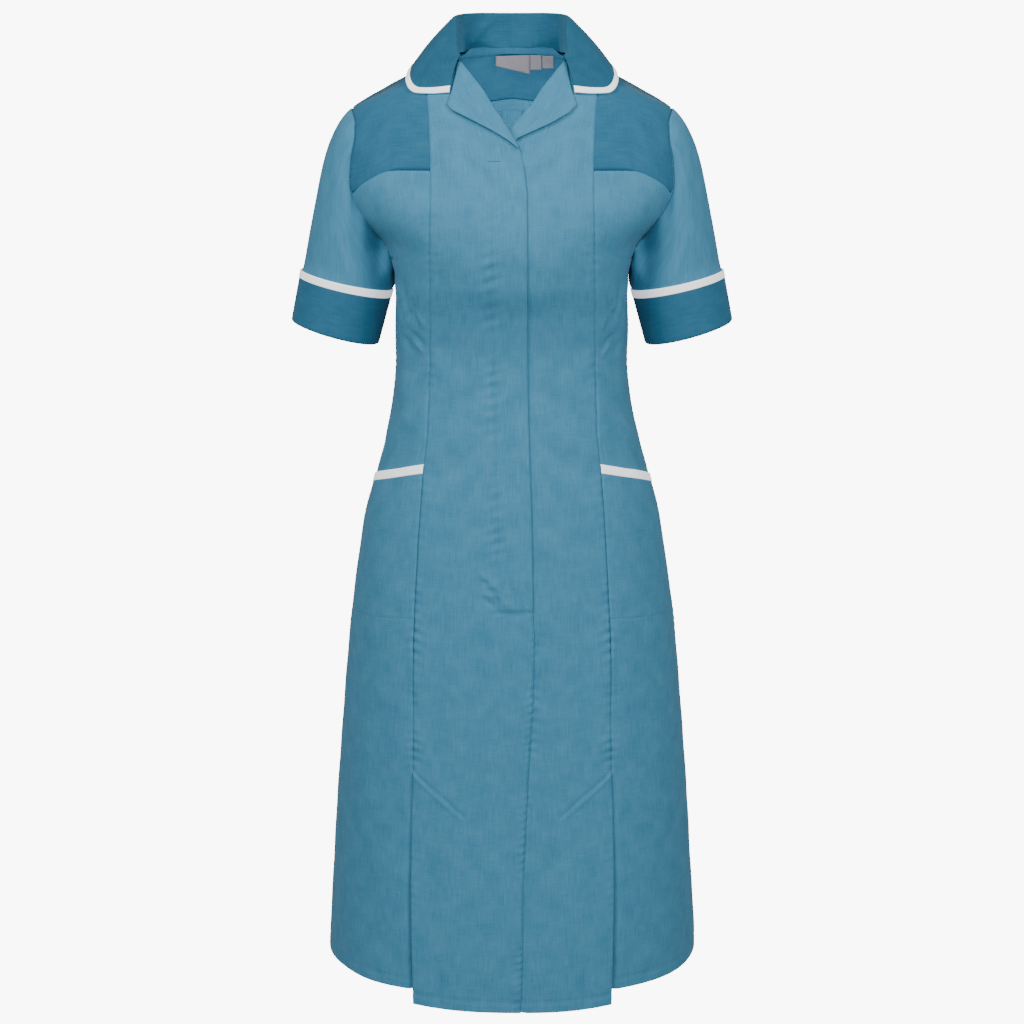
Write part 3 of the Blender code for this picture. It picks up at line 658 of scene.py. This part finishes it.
def side_front(side):
    def place(across, up):
        top = mix(*YOKE_SEAM, yoke_drop(across))
        z = mix(HEM_SIDE, top, up)
        angle, lift = side_lift(side, across, z)
        below_pocket = mix(*POCKET_BOTTOM, across) - z
        flush = ease(-0.006, -0.002, below_pocket) * (1 - ease(0.01, 0.12, below_pocket))
        return place_on_body(angle, z, lift + groove(top - z) + POCKET_LIFT * flush, side)

    end = END[side]
    name = f"side_front_{end}"
    cloth(name + "_cloth", place, lines(0.14), lines(0.90), POPLIN, [name], flip=side < 0)


def pocket_lift(side, across, z):
    angle, lift = side_lift(side, across, z)
    depth = (z - mix(*POCKET_BOTTOM, across)) / (POCKET_TOP[0] - POCKET_BOTTOM[0])
    depth = np.clip(depth, 0, 1)
    slack = np.sin(np.pi * across) * (0.8 * depth**2 + np.sin(np.pi * depth))
    return angle, lift + POCKET_LIFT + 1.1 * MM * slack


def pocket(side):
    end = END[side]

    def place(across, up):
        z = mix(mix(*POCKET_BOTTOM, across), mix(*POCKET_TOP, across), up)
        angle, lift = pocket_lift(side, across, z)
        tucked = 1 - ease(0, 0.0045, z - mix(*POCKET_BOTTOM, across))
        return place_on_body(angle, z, lift - 1.1 * MM * tucked, side)

    # distance below the mouth and distance off the pocket, in mm, from its sewn edge over the mouth
    turn = np.array([
        (BINDING / MM, 0.1), (9.2, 0.55), (0.8, 0.75), (0.1, 0.65), (-0.4, 0.1), (0.0, -0.7), (1.5, -1.0),
    ])

    def bound(across, up):
        knots = [0, 0.04, 0.76, 0.82, 0.88, 0.94, 1]
        down, off = (np.interp(up, knots, turn[:, axis]) * MM for axis in (0, 1))
        z = mix(*POCKET_TOP, across) - down
        angle, lift = pocket_lift(side, across, np.minimum(z, mix(*POCKET_TOP, across)))
        return place_on_body(angle, z, lift + off, side)

    cloth(f"pocket_{end}_cloth", place, lines(0.14), lines(0.17), POPLIN, [f"pocket_{end}"], flip=side < 0)
    rows = np.concatenate([[0], np.linspace(0.04, 0.76, 7), [0.79, 0.82, 0.85, 0.88, 0.91, 0.94, 1]])
    cloth(
        f"pocket_{end}_binding", bound, lines(0.14), rows, WHITE, [f"pocket_trim_{end}"],
        thick=0.5 * MM, flip=side < 0,
    )


def front_yoke(side):
    def outer(height):
        return np.minimum(along(ARMHOLE, height), half_width(height))

    def place(across, up):
        low = mix(*YOKE_SEAM, yoke_drop(across))
        ridge = crest(princess, lambda height: along(ARMHOLE, height), across)
        top = np.where(across > 1 - 1e-9, SHOULDER_TIP, ridge)
        z = mix(low, top, 1 - (1 - up) ** 2)
        x = mix(princess(z), outer(z), across)
        angle = np.where(up > 1 - 1e-9, SIDE, angle_at(x, z))
        width = outer(z) - princess(z)
        lift = body_relief(angle * side, z) + groove(across * width) + groove((1 - across) * width)
        lift = lift + groove(z - low) + 0.3 * MM * puckers(15, z - low, x)
        return place_on_body(angle, z, lift, side)

    end = END[side]
    name = f"front_yoke_{end}"
    cloth(name + "_cloth", place, lines(0.086), np.linspace(0, 1, 46), CONTRAST, [name], flip=side < 0)


def pleat_underlay(side):
    """Cloth folded inside a kick pleat, from behind the side front to under the front panel."""
    end = END[side]

    def place(across, up):
        shift = mix(-0.058, 0.009, across)
        top = mix(PLEAT_STITCH_LOW, PLEAT_TOP - 0.02, across)
        z = mix(HEM_SIDE + 0.003, top, up)
        angle = angle_at(princess(z) + shift, z)
        wave = 0.6 * MM * ripple(21, shift, z, 0.04)
        deep = mix(2.9, 5.4, ease(0.80, 1.03, -z)) * MM
        return place_on_body(angle, z, body_relief(angle * side, z) - deep + wave, side)

    name = f"pleat_underlay_{end}"
    cloth(name + "_cloth", place, lines(0.067), lines(0.2), POPLIN, [name], flip=side < 0)


# --- Back ---


def back_panel(side):
    def place(across, up):
        top = mix(*BACK_YOKE_SEAM, across)
        z = mix(HEM_SIDE, top, up)
        edge = BACK - armhole_angle(z)
        angle = mix(edge, BACK, across)
        width = (BACK - edge) * half_width(z) * 0.85
        to_side, to_middle = across * width, (1 - across) * width
        lift = body_relief(angle * side, z) + groove(to_side, 0.5) + groove(to_middle)
        lift = lift + groove(top - z, 0.7)
        lift = lift + groove(z - HEM_SIDE - HEM_DEPTH, 0.9, 1.5)
        lift = lift + 0.4 * MM * puckers(14, to_side, z) + 0.5 * MM * puckers(16, to_middle, z)
        return place_on_body(angle, z, lift, side)

    end = END[side]
    name = f"back_{end}"
    cloth(name + "_cloth", place, lines(0.26, 0.0034), lines(0.98, 0.0034), POPLIN, [name], flip=side < 0)


def back_yoke():
    def place(across, up):
        side = np.where(across < 0.5, 1.0, -1.0)
        inward = 1 - np.abs(2 * across - 1)
        low = mix(*BACK_YOKE_SEAM, inward)
        low_angle = mix(BACK - armhole_angle(low), BACK, inward)
        on_neck = np.clip((inward - 0.5) * 2, 0, 1)
        ridge = np.interp(inward, [0, 0.25, 0.5], [SHOULDER_TIP, -0.0260, NECK_POINT])
        top = np.where(inward < 0.5, ridge, mix(NECK_POINT, NAPE, ease(0, 1, on_neck)))
        top_angle = np.where(inward < 0.5, SIDE, mix(SIDE, BACK, on_neck))
        z = mix(low, top, up)
        angle = mix(low_angle, top_angle, up**2)
        hole = BACK - armhole_angle(mix(BACK_YOKE_SEAM[0], SHOULDER_TIP, up))
        straight = mix(BACK - armhole_angle(np.full(len(up), BACK_YOKE_SEAM[0])), SIDE, up**2)
        angle = angle + (hole - straight) * (1 - inward) ** 6
        lift = body_relief(angle * side, z) + groove(z - low, 0.7) + groove(inward * 0.17)
        return body(angle, z, lift) * sides(side)

    rows = 1 - (1 - lines(0.09, 0.003)) ** 1.6
    cloth("back_yoke_cloth", place, lines(0.36, 0.003), rows, CONTRAST, ["back_yoke"])


# --- Neck ---

# height of the roll line, then x and height of the rever's outer edge beside it
REVERS = {
    "right": [
        (-0.0045, 0.0583, -0.0062), (-0.0120, 0.0603, -0.0190), (-0.0220, 0.0643, -0.0360),
        (-0.0320, 0.0695, -0.0500), (-0.0430, 0.0640, -0.0560), (-0.0560, 0.0440, -0.0655),
        (-0.0690, 0.0220, -0.0765), (-0.0800, 0.0035, -0.0875), (-0.0930, -0.0068, -0.0955),
    ],
    "left": [
        (-0.0045, 0.0583, -0.0062), (-0.0120, 0.0603, -0.0190), (-0.0220, 0.0643, -0.0360),
        (-0.0320, 0.0695, -0.0502), (-0.0420, 0.0612, -0.0583), (-0.0525, 0.0420, -0.0690),
        (-0.0645, 0.0240, -0.0770), (-0.0740, 0.0058, -0.0850), (-0.0830, -0.0035, -0.0910),
    ],
}

# Points of the neck seam, the roll and the outer edge, from the centre back to the gorge.
COLLAR = [
    ((0.0000, 0.0590, 0.0088), (0.0000, 0.0612, 0.0480), (0.0000, 0.0775, -0.0120)),
    ((0.0290, 0.0528, 0.0080), (0.0300, 0.0545, 0.0480), (0.0520, 0.0715, -0.0125)),
    ((0.0512, 0.0320, 0.0065), (0.0522, 0.0335, 0.0466), (0.0915, 0.0450, -0.0130)),
    ((0.0602, 0.0015, 0.0050), (0.0598, 0.0040, 0.0428), (0.1124, 0.0050, -0.0125)),
    ((0.0594, -0.0180, 0.0030), (0.0596, -0.0130, 0.0285), (0.1154, -0.0310, -0.0225)),
    ((0.0575, -0.0290, 0.0005), (0.0585, -0.0280, 0.0110), (0.1119, -0.0490, -0.0320)),
    ((0.0555, -0.0355, -0.0015), (0.0572, -0.0375, 0.0035), (0.1030, -0.0575, -0.0369)),
    ((0.0548, -0.0378, -0.0025), (0.0566, -0.0405, 0.0012), (0.0870, -0.0632, -0.0374)),
    ((0.0543, -0.0392, -0.0035), (0.0562, -0.0425, -0.0006), (0.0672, -0.0672, -0.0362)),
]
COLLAR_ROLL = 4.5 * MM
COLLAR_TRIM = 7.3 * MM
# Shares of the collar's depth: up the stand, over the roll, down the fall.
STAND, ROLL, FALL = 0.40, 0.46, 0.52


def collar_point(side, way):
    """The collar's middle; side runs -1 to 1 round the neck, way from seam to edge."""
    stations = np.linspace(0, 1, len(COLLAR))
    neck, roll, edge = (
        np.stack([smooth(stations, np.array(points)[:, axis], np.abs(side)) for axis in range(3)], -1)
        for points in zip(*COLLAR)
    )
    outward = (edge - neck) * (1, 1, 0)
    outward /= np.linalg.norm(outward, axis=-1, keepdims=True)
    over = roll + outward * COLLAR_ROLL / 2 + (0, 0, 1.2 * MM)
    down = roll + outward * COLLAR_ROLL
    knots = [(0, neck), (STAND, roll), (ROLL, over), (FALL, down), (1, edge)]
    points = neck
    for (start, here), (stop, there) in zip(knots, knots[1:]):
        share = np.clip((way - start) / (stop - start), 0, 1)[:, None]
        points = points + (there - here) * share
    belly = np.sin(np.pi * np.clip((way - FALL) / (1 - FALL), 0, 1))[:, None]
    points = points + 2.5 * MM * belly * (0.8 * outward + (0, 0, 0.6))
    return points * np.stack([np.sign(side) + (side == 0), 1 + 0 * side, 1 + 0 * side], -1)


def collar_round(side, way):
    """collar_point with its roll softened."""
    reach = 0.035 * np.minimum(1, np.minimum(way, 1 - way) / 0.035)
    spread = np.array([-1.0, -0.66, -0.33, 0, 0.33, 0.66, 1.0])
    weight = np.array([0.06, 0.14, 0.19, 0.22, 0.19, 0.14, 0.06])
    return sum(w * collar_point(side, way + s * reach) for s, w in zip(spread, weight))


def trim_share(side):
    """Share of the collar's depth that its trim takes."""
    top = collar_point(side, np.full(len(side), FALL))
    edge = collar_point(side, np.ones(len(side)))
    return (1 - FALL) * COLLAR_TRIM / np.linalg.norm(edge - top, axis=-1)


def collar():
    def place(across, up):
        side = across * 2 - 1
        points = collar_round(side, up)
        fall = np.clip((up - FALL) / (1 - FALL), 0, 1)
        wave = 1.1 * MM * ripple(31, side * 0.2, up * 0.06, 0.035) * np.sin(np.pi * np.clip(up, 0, 0.97))
        off = side + 0.16 - 0.5 * (up - 0.2)
        on_stand = ease(0.02, 0.12, up) * (1 - ease(0.30, 0.40, up))
        crease = -2.2 * MM * np.exp(-((off / 0.026) ** 2)) * on_stand
        outward = points * (1, 1, 0)
        outward /= np.linalg.norm(outward, axis=-1, keepdims=True)
        return points + outward * (wave + crease * (fall == 0))[:, None]

    # share of the trim's breadth from the collar's edge, and distance off the collar's middle, mm
    wrap = np.array([
        (1.0, 0.5), (0.97, 1.05), (0.15, 1.15), (0.03, 0.9), (-0.02, 0), (0.03, -0.9), (0.5, -1.0),
    ])
    wrap_knots = [0, 0.05, 0.60, 0.68, 0.72, 0.76, 1]

    def trim(across, up):
        way = 1 - trim_share(across * 2 - 1) * np.interp(up, wrap_knots, wrap[:, 0])
        off = np.interp(up, wrap_knots, wrap[:, 1]) * MM
        return raised(lambda a, b: collar_round(a * 2 - 1, b), across, way, -off)

    rows = np.concatenate([
        np.linspace(0, 0.36, 14), np.linspace(0.37, 0.56, 24), np.linspace(0.58, 0.995, 24),
    ])
    columns = np.linspace(0, 1, 221)
    # The collar takes the darker copy of the contrast cloth, whose extra darkness is painted shade.
    cloth("collar_cloth", place, columns, rows, COLLAR_SHADED_CLOTH, ["collar"], thick=TWO_LAYERS, offset=0)
    rows = np.concatenate([[0, 0.025], np.linspace(0.05, 0.60, 6), np.linspace(0.62, 0.78, 9), [0.9, 1]])
    cloth(
        "collar_edge_trim", trim, columns, rows, WHITE, ["collar_trim"], thick=0.5 * MM
    )


def rever(side):
    end = END[side]
    roll_z, outer_x, outer_z = np.array(REVERS[end]).T
    steps = np.linspace(0, 1, len(roll_z))

    def place(across, up):
        down = 1 - up
        low = smooth(steps, -roll_z, down) * -1
        rolled = -front_edge(low) - 0.5 * MM - (side > 0) * 5.0 * MM * ease(0.040, 0.074, -low)
        x = mix(rolled, np.interp(down, steps, outer_x), across)
        z = mix(low, np.interp(down, steps, outer_z), across)
        off = np.hypot(x - rolled, z - low)
        turn = np.sqrt(1 - (1 - np.clip(off / 0.003, 0, 1)) ** 2)
        lift = -0.9 * MM + (LAP + 1.3 * MM) * turn + 0.5 * MM * np.sin(np.pi * across)
        lift = lift + 0.4 * MM * ripple(33, x, z, 0.03) * np.sin(np.pi * across)
        lift = lift + 1.1 * MM * ease(0.55, 1, across) * ease(0.35, 0.55, down)
        if side > 0:
            lift = lift - 3.1 * MM * ease(-0.0035, -0.0005, front_edge(z) - x)
        angle = angle_at(x, z)
        return place_on_body(angle, z, lift + body_relief(angle * side, z), side)

    columns = np.concatenate([np.linspace(0, 0.12, 13), np.linspace(0.16, 1, 16)])
    cloth(
        f"rever_{end}_cloth", place, columns, np.linspace(0, 1, 56), POPLIN, [f"rever_{end}"],
        thick=TWO_LAYERS, flip=side < 0,
    )


def neck_line(angle):
    """Height of the back neck edge, from the neck points to the nape."""
    return mix(NECK_POINT, NAPE, ease(0, 1, 1 - np.abs(angle - BACK) / SIDE))


def neck_inside():
    """Inside the back neck: the binding over the collar seam, a blank label and two tabs."""

    def band(across, up):
        angle = BACK + mix(-1, 1, across) * math.radians(67.5)
        top = 2.6 + 2.8 * ease(0.30, 0.60, np.abs(across * 2 - 1))
        return body(angle, neck_line(angle) + mix(-4.8, top, up) * MM, -CLOTH - mix(1.5, 2.4, up) * MM)

    cloth(
        "neck_seam_binding", band, np.linspace(0, 1, 60), np.linspace(0, 1, 4), CONTRAST,
        ["neck_binding"], thick=0.8 * MM, flip=True,
    )
    labels = {
        "label": [(-0.0190, 0.0036), (-0.0190, -0.0064), (0.0206, 0.0043), (0.0206, -0.0157)],
        "size_tab_1": [(0.0212, 0.0048), (0.0212, -0.0107), (0.0341, 0.0048), (0.0341, -0.0107)],
        "size_tab_2": [(0.0352, 0.0048), (0.0352, -0.0086), (0.0478, 0.0044), (0.0478, -0.0086)],
    }
    for name, ((left, top), (_, low), (right, other_top), (_, other_low)) in labels.items():

        def hang(across, up):
            x = mix(left, right, across)
            z = mix(mix(low, other_low, across), mix(top, other_top, across), up)
            curl = 1.2 * MM * (1 - up) ** 2 + 0.3 * MM * np.sin(across * 5)
            return body(BACK - angle_at(x, z), z, -CLOTH - 3.0 * MM - curl)

        cloth(name + "_cloth", hang, np.linspace(0, 1, 20), np.linspace(0, 1, 12), LABEL, [name],
              thick=0.5 * MM)


# --- Sleeves ---

CUFF_TOP = np.array([0.1845, -0.2424, 0.0512, 0.0600, math.radians(12.5)])
CUFF_HEM = np.array([0.1990, -0.3020, 0.0488, 0.0570, math.radians(15.8)])


def ring(turn, way):
    """Cuff rings: turn 0 is under the arm, a half is on top; way is 0 at the cuff's top."""
    x, z, half, deep, tilt = (mix(a, b, way) for a, b in zip(CUFF_TOP, CUFF_HEM))
    across = -np.cos(2 * math.pi * turn) * half
    y = -np.sin(2 * math.pi * turn) * deep
    return np.stack([x + across * np.cos(tilt), y, z + across * np.sin(tilt)], -1)


def hole_ring(turn):
    """The armhole seam."""
    up = (1 - np.cos(2 * math.pi * turn)) / 2
    height = mix(UNDERARM, SHOULDER_TIP, up)
    angle = np.minimum(angle_at(along(ARMHOLE, height), height), SIDE)
    angle = np.where(turn > 0.5, BACK - angle, angle)
    return body(angle, height, 0 * up)


def sleeve_surface(turn, way):
    """From the armhole, out over the shoulder and down to the cuff's top ring, and on under it."""
    turn = turn % 1.0
    top = (1 - np.cos(2 * math.pi * turn)) / 2
    start, stop = hole_ring(turn), ring(turn, 0 * turn)
    fore = np.sin(2 * math.pi * turn)
    lead = np.stack([mix(0.20, 0.83, top), -0.25 * fore * (1 - top), -mix(0.98, 0.56, top)], -1)
    drop = np.stack([0.235 + 0 * top, 0 * top, -0.972 + 0 * top], -1)
    span = np.linalg.norm(stop - start, axis=-1, keepdims=True)
    w = np.clip(way, 0, 1)[:, None]
    points = (2 * w**3 - 3 * w**2 + 1) * start + (3 * w**2 - 2 * w**3) * stop
    points = points + (w**3 - 2 * w**2 + w) * lead * span * mix(0.5, 0.68, top)[:, None]
    points = points + (w**3 - w**2) * drop * span * 0.95
    under = 3.0 * MM * (1 - top) ** 3 * np.sin(np.pi * w[:, 0] ** 0.7)
    points = points - np.stack([under, 0 * top, 0 * top], -1)
    return np.where(w < 1, points, ring(turn, np.maximum(way - 1, 0) * 3))


def raised(surface, across, up, off):
    """Points of surface(across, up), moved out along its own normal."""
    step = 1e-3
    here = np.clip(up, 0.012, 0.995)
    right = surface(across + step, here) - surface(across - step, here)
    down = surface(across, here + step) - surface(across, here - step)
    normal = np.cross(right, down)
    normal /= np.linalg.norm(normal, axis=-1, keepdims=True)
    return surface(across, up) - normal * off[:, None]


# The same columns as FRONT_CREASES, with the way round the sleeve and down it in metres.
SLEEVE_CREASES = [
    (0.028, 0.010, 0.060, 0.120, 8, 9, -2.2),
    (0.050, 0.020, 0.100, 0.150, 10, 12, 1.4),
    (0.016, 0.030, 0.034, 0.130, 4, 7, 1.6),
    (0.302, 0.010, 0.270, 0.120, -8, 9, -2.0),
    (0.275, 0.030, 0.235, 0.150, -8, 12, 1.3),
]


def sleeve(side):
    end = END[side]

    def sleeve_place(across, up):
        way = up * 1.15
        length = mix(0.11, 0.20, (1 - np.cos(2 * math.pi * across)) / 2)
        down = way * length
        lift = groove(down, 1.2, 1.6) + creases(SLEEVE_CREASES, across * 0.33, way * 0.17)
        round_x, round_y = np.cos(across * 6.283) * 0.05, np.sin(across * 6.283) * 0.05
        lift = lift + 0.8 * MM * ripple(41, round_x, down + round_y, 0.05)
        lift = lift * (1 - ease(0.92, 1.0, way))
        lift = lift + 0.5 * MM * puckers(42, down, across * 0.33, 0.011) * (way < 1)
        return raised(sleeve_surface, across, way, lift + 0.2 * MM) * (side, 1, 1)

    def strip(profile, knots):
        table = np.array(profile)

        def place(across, up):
            way = np.interp(up, knots, table[:, 0])
            off = np.interp(up, knots, table[:, 1]) * MM
            wave = 0.5 * MM * ripple(43, np.cos(across * 6.283) * 0.05, np.sin(across * 6.283) * 0.05, 0.05)
            return raised(ring, across % 1.0, way, off + wave) * (side, 1, 1)

        return place

    cuff = [(0.03, 1.3), (0.96, 1.5), (0.985, 1.2), (1.0, 0.2), (0.985, -0.8), (0.96, -1.1), (0.03, -1.1)]
    cuff_knots = [0, 0.47, 0.485, 0.50, 0.515, 0.53, 1]
    trim = [(0.03, 0.2), (0.005, 1.2), (0.02, 2.1), (0.145, 2.2), (0.155, 1.4)]
    trim_knots = [0, 0.15, 0.27, 0.93, 1]
    round_way = np.linspace(0, 1, 121)
    rows = np.concatenate([
        np.linspace(0, 0.47, 15), np.linspace(0.475, 0.53, 12), np.linspace(0.56, 1, 12),
    ])
    look = {"flip": side > 0, "tube": True}
    cloth(
        f"sleeve_{end}_cloth", sleeve_place, round_way, lines(0.21), POPLIN, [f"sleeve_{end}"], **look
    )
    cloth(
        f"cuff_{end}_cloth", strip(cuff, cuff_knots), round_way, rows, CONTRAST, [f"cuff_{end}"],
        thick=0.8 * MM, offset=0, **look,
    )
    cloth(
        f"cuff_{end}_binding", strip(trim, trim_knots), round_way, np.linspace(0, 1, 16), WHITE,
        [f"cuff_trim_{end}"], thick=0.5 * MM, **look,
    )


# --- Stitching ---


def stitches(name, path, normals, stitch=2.3, gap=0.7, wide=0.42, thread=SHADED_THREAD):
    """A line of lockstitches along a path on the cloth, lengths in mm."""
    runs = np.linalg.norm(np.diff(path, axis=0), axis=-1)
    at = np.concatenate([[0], np.cumsum(runs)])
    count = max(1, int(at[-1] / ((stitch + gap) * MM)))
    middles = (np.arange(count) + 0.5) * at[-1] / count

    def sample(values, where):
        return np.stack([np.interp(where, at, values[:, axis]) for axis in range(3)], -1)

    spots, facing = sample(path, middles), sample(normals, middles)
    ahead = sample(path, middles + 0.5 * MM) - sample(path, middles - 0.5 * MM)
    seam = bmesh.new()
    for spot, way, up in zip(spots, ahead, facing):
        way, up = Vector(way).normalized(), Vector(up).normalized()
        beside = up.cross(way).normalized()
        turn = Matrix((way, beside, way.cross(beside))).transposed().to_4x4()
        size = Matrix.Diagonal((stitch / 2 * MM, wide / 2 * MM, wide / 3 * MM, 1))
        bmesh.ops.create_icosphere(
            seam, subdivisions=1, radius=1, matrix=Matrix.Translation(spot) @ turn @ size
        )
    data = bpy.data.meshes.new(name)
    seam.to_mesh(data)
    seam.free()
    data.shade_smooth()
    data.materials.append(thread)
    piece = bpy.data.objects.new(name, data)
    bpy.context.scene.collection.objects.link(piece)
    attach(piece, "root")


def stitch_front(name, side, x, z, **look):
    """Stitches on a front panel, along x and z."""
    angle = angle_at(x, z)
    normals = normal_of(skin, angle, z, 1e-4) * (side, 1, 1)
    stitches(name, on_front(side, x, z, 0.08 * MM), normals, **look)


def stitching():
    z = np.linspace(-0.112, FLY_END, 400)
    stitch_front("fly_stitching", -1, FLY_WIDTH - front_edge(z), z)
    x = np.linspace(-front_edge(FLY_END) + 0.001, FLY_WIDTH - front_edge(FLY_END), 60)
    stitch_front("fly_end_stitching", -1, x, np.full(60, FLY_END))
    x = np.linspace(0.012, 0.026, 20)
    stitch_front("fly_top_bar", -1, x, np.full(20, -0.108), stitch=0.9, gap=0.0, wide=1.2)
    z = np.linspace(FLY_END, HEM_FRONT + 0.02, 400)
    stitch_front("lap_stitching", -1, 0.0016 - front_edge(z), z)
    for side, end in ((-1, "right"), (1, "left")):
        x = np.linspace(0.1108, 0.0520, 90)
        z = PLEAT_TOP - (x - PLEAT_CORNER) * PLEAT_LINE[1] / PLEAT_LINE[0]
        stitch_front(f"pleat_{end}_stitching", side, x, z)
        stitch_front(
            f"pleat_{end}_bartack", side, x[:12], z[:12], stitch=0.8, gap=0.0, wide=1.6, thread=PALE_THREAD
        )
        x = np.linspace(-front_edge(HEM_FRONT) + 0.001, 0.1115, 200)
        stitch_front(f"front_{end}_hem_stitching", side, x, front_hem(x) + 0.013)


def turnings():
    """Seam allowances inside: pressed flat under the back yoke and down the middle, and round the
    armholes."""

    def yoke_turning(across, up):
        side = np.where(across < 0.5, 1.0, -1.0)
        inward = 1 - np.abs(2 * across - 1)
        low = mix(*BACK_YOKE_SEAM, inward)
        angle = mix(BACK - armhole_angle(low), BACK, inward)
        z = low + mix(-10.0, 3.0, up) * MM
        lift = body_relief(angle * side, z) - 1.9 * MM - 0.5 * MM * np.abs(up - 0.77)
        return body(angle, z, lift) * sides(side)

    def middle_turning(across, up):
        z = mix(HEM_SIDE + 0.001, BACK_YOKE_SEAM[1] - 0.001, up)
        angle = BACK + mix(-0.011, 0.011, across) / np.maximum(half_width(z), 0.05)
        lift = body_relief(np.minimum(angle, BACK), z) - 1.9 * MM - 0.8 * MM * np.abs(across - 0.5)
        return body(angle, z, lift)

    def armhole_turning(side):
        """From 8 mm inside the bodice, under the seam, to 8 mm inside the sleeve."""

        def place(across, up):
            turn = across % 1.0
            seam = hole_ring(turn)
            middle = (hole_ring(np.array([0.0])) + hole_ring(np.array([0.5]))) / 2
            deeper = (middle - seam) / np.linalg.norm(middle - seam, axis=-1, keepdims=True) * 1.7 * MM
            top = (1 - np.cos(2 * math.pi * turn)) / 2
            inward = np.stack([-ease(0, 0.5, top), 0 * top, mix(-1.0, 0.45, top)], -1)
            inward = inward / np.linalg.norm(inward, axis=-1, keepdims=True)
            body_way = np.clip(1 - 2 * up, 0, 1)[:, None]
            sleeve_way = np.clip(2 * up - 1, 0, 1)
            points = sleeve_surface(turn, sleeve_way * 0.05) + deeper + inward * body_way * 8.0 * MM
            return points * (side, 1, 1)

        return place

    for side in (-1, 1):
        end = END[side]
        cloth(f"armhole_{end}_turning", armhole_turning(side), np.linspace(0, 1, 97), np.linspace(0, 1, 9),
              POPLIN, [f"sleeve_{end}"], thick=0.5 * MM, flip=side > 0, tube=True)
    cloth(
        "back_yoke_turning", yoke_turning, np.linspace(0.02, 0.98, 120), np.linspace(0, 1, 6), POPLIN,
        ["back_yoke"], thick=0.6 * MM,
    )
    cloth(
        "centre_back_turning", middle_turning, np.linspace(0, 1, 9), np.linspace(0, 1, 260), POPLIN,
        ["back_left", "back_right"], thick=0.6 * MM, flip=True,
    )


def main():
    for side in (-1, 1):
        front_panel(side)
        side_front(side)
        pocket(side)
        front_yoke(side)
        pleat_underlay(side)
        back_panel(side)
        rever(side)
        sleeve(side)
    back_yoke()
    turnings()
    collar()
    neck_inside()
    stitching()
    studio()


def turned_to(place, target):
    """How a lamp or camera is turned to face a point."""
    return (Vector(target) - Vector(place)).to_track_quat("-Z", "Y").to_euler()


def studio():
    """Soft light, a pale floor and the camera."""
    floor = bmesh.new()
    bmesh.ops.create_circle(
        floor,
        cap_ends=True,
        segments=96,
        radius=FLOOR_RADIUS,
        matrix=Matrix.Translation((0, 0, FLOOR_HEIGHT)),
    )
    data = bpy.data.meshes.new("floor")
    floor.to_mesh(data)
    floor.free()
    ground = bpy.data.objects.new("floor", data)
    bpy.context.scene.collection.objects.link(ground)
    pale = bpy.data.materials.new("pale_floor")
    pale.use_nodes = True
    pale.node_tree.nodes["Principled BSDF"].inputs["Base Color"].default_value = shade("#F2F2F2")
    pale.node_tree.nodes["Principled BSDF"].inputs["Roughness"].default_value = 0.9
    data.materials.append(pale)

    world = bpy.data.worlds.new("studio")
    bpy.context.scene.world = world
    world.use_nodes = True
    tree = world.node_tree
    background = tree.nodes["Background"]
    background.inputs["Color"].default_value = shade("#FFFFFF")
    # The backdrop is lit brighter than the dress, so that it reads as clean white paper.
    seen = node(tree, "ShaderNodeLightPath")
    strength = node(
        tree, "ShaderNodeMapRange", [("Value", seen, "Is Camera Ray")], in_3=AMBIENT, in_4=BACKDROP
    )
    tree.links.new(strength.outputs["Result"], background.inputs["Strength"])
    for name, place, size, power in LIGHTS:
        light = bpy.data.lights.new(name, "AREA")
        light.size = size
        light.energy = power
        lamp = bpy.data.objects.new(name, light)
        lamp.location = place
        lamp.rotation_euler = turned_to(place, LIGHT_TARGET)
        lamp.visible_camera = False
        bpy.context.scene.collection.objects.link(lamp)
    # A small lamp hidden inside the bodice, as used to open up the neck of an empty dress.
    light = bpy.data.lights.new("inside_neck", "AREA")
    light.size = 0.08
    light.energy = 0.29
    lamp = bpy.data.objects.new("inside_neck", light)
    lamp.location = (0, -0.045, -0.14)
    lamp.rotation_euler = turned_to(lamp.location, (0, 0.05, -0.02))
    lamp.visible_camera = False
    bpy.context.scene.collection.objects.link(lamp)
    lens = bpy.data.cameras.new("camera")
    lens.lens = 75
    lens.sensor_width = 36
    camera = bpy.data.objects.new("camera", lens)
    camera.location = CAMERA_PLACE
    camera.rotation_euler = turned_to(CAMERA_PLACE, CAMERA_TARGET)
    bpy.context.scene.collection.objects.link(camera)
    bpy.context.scene.camera = camera


main()
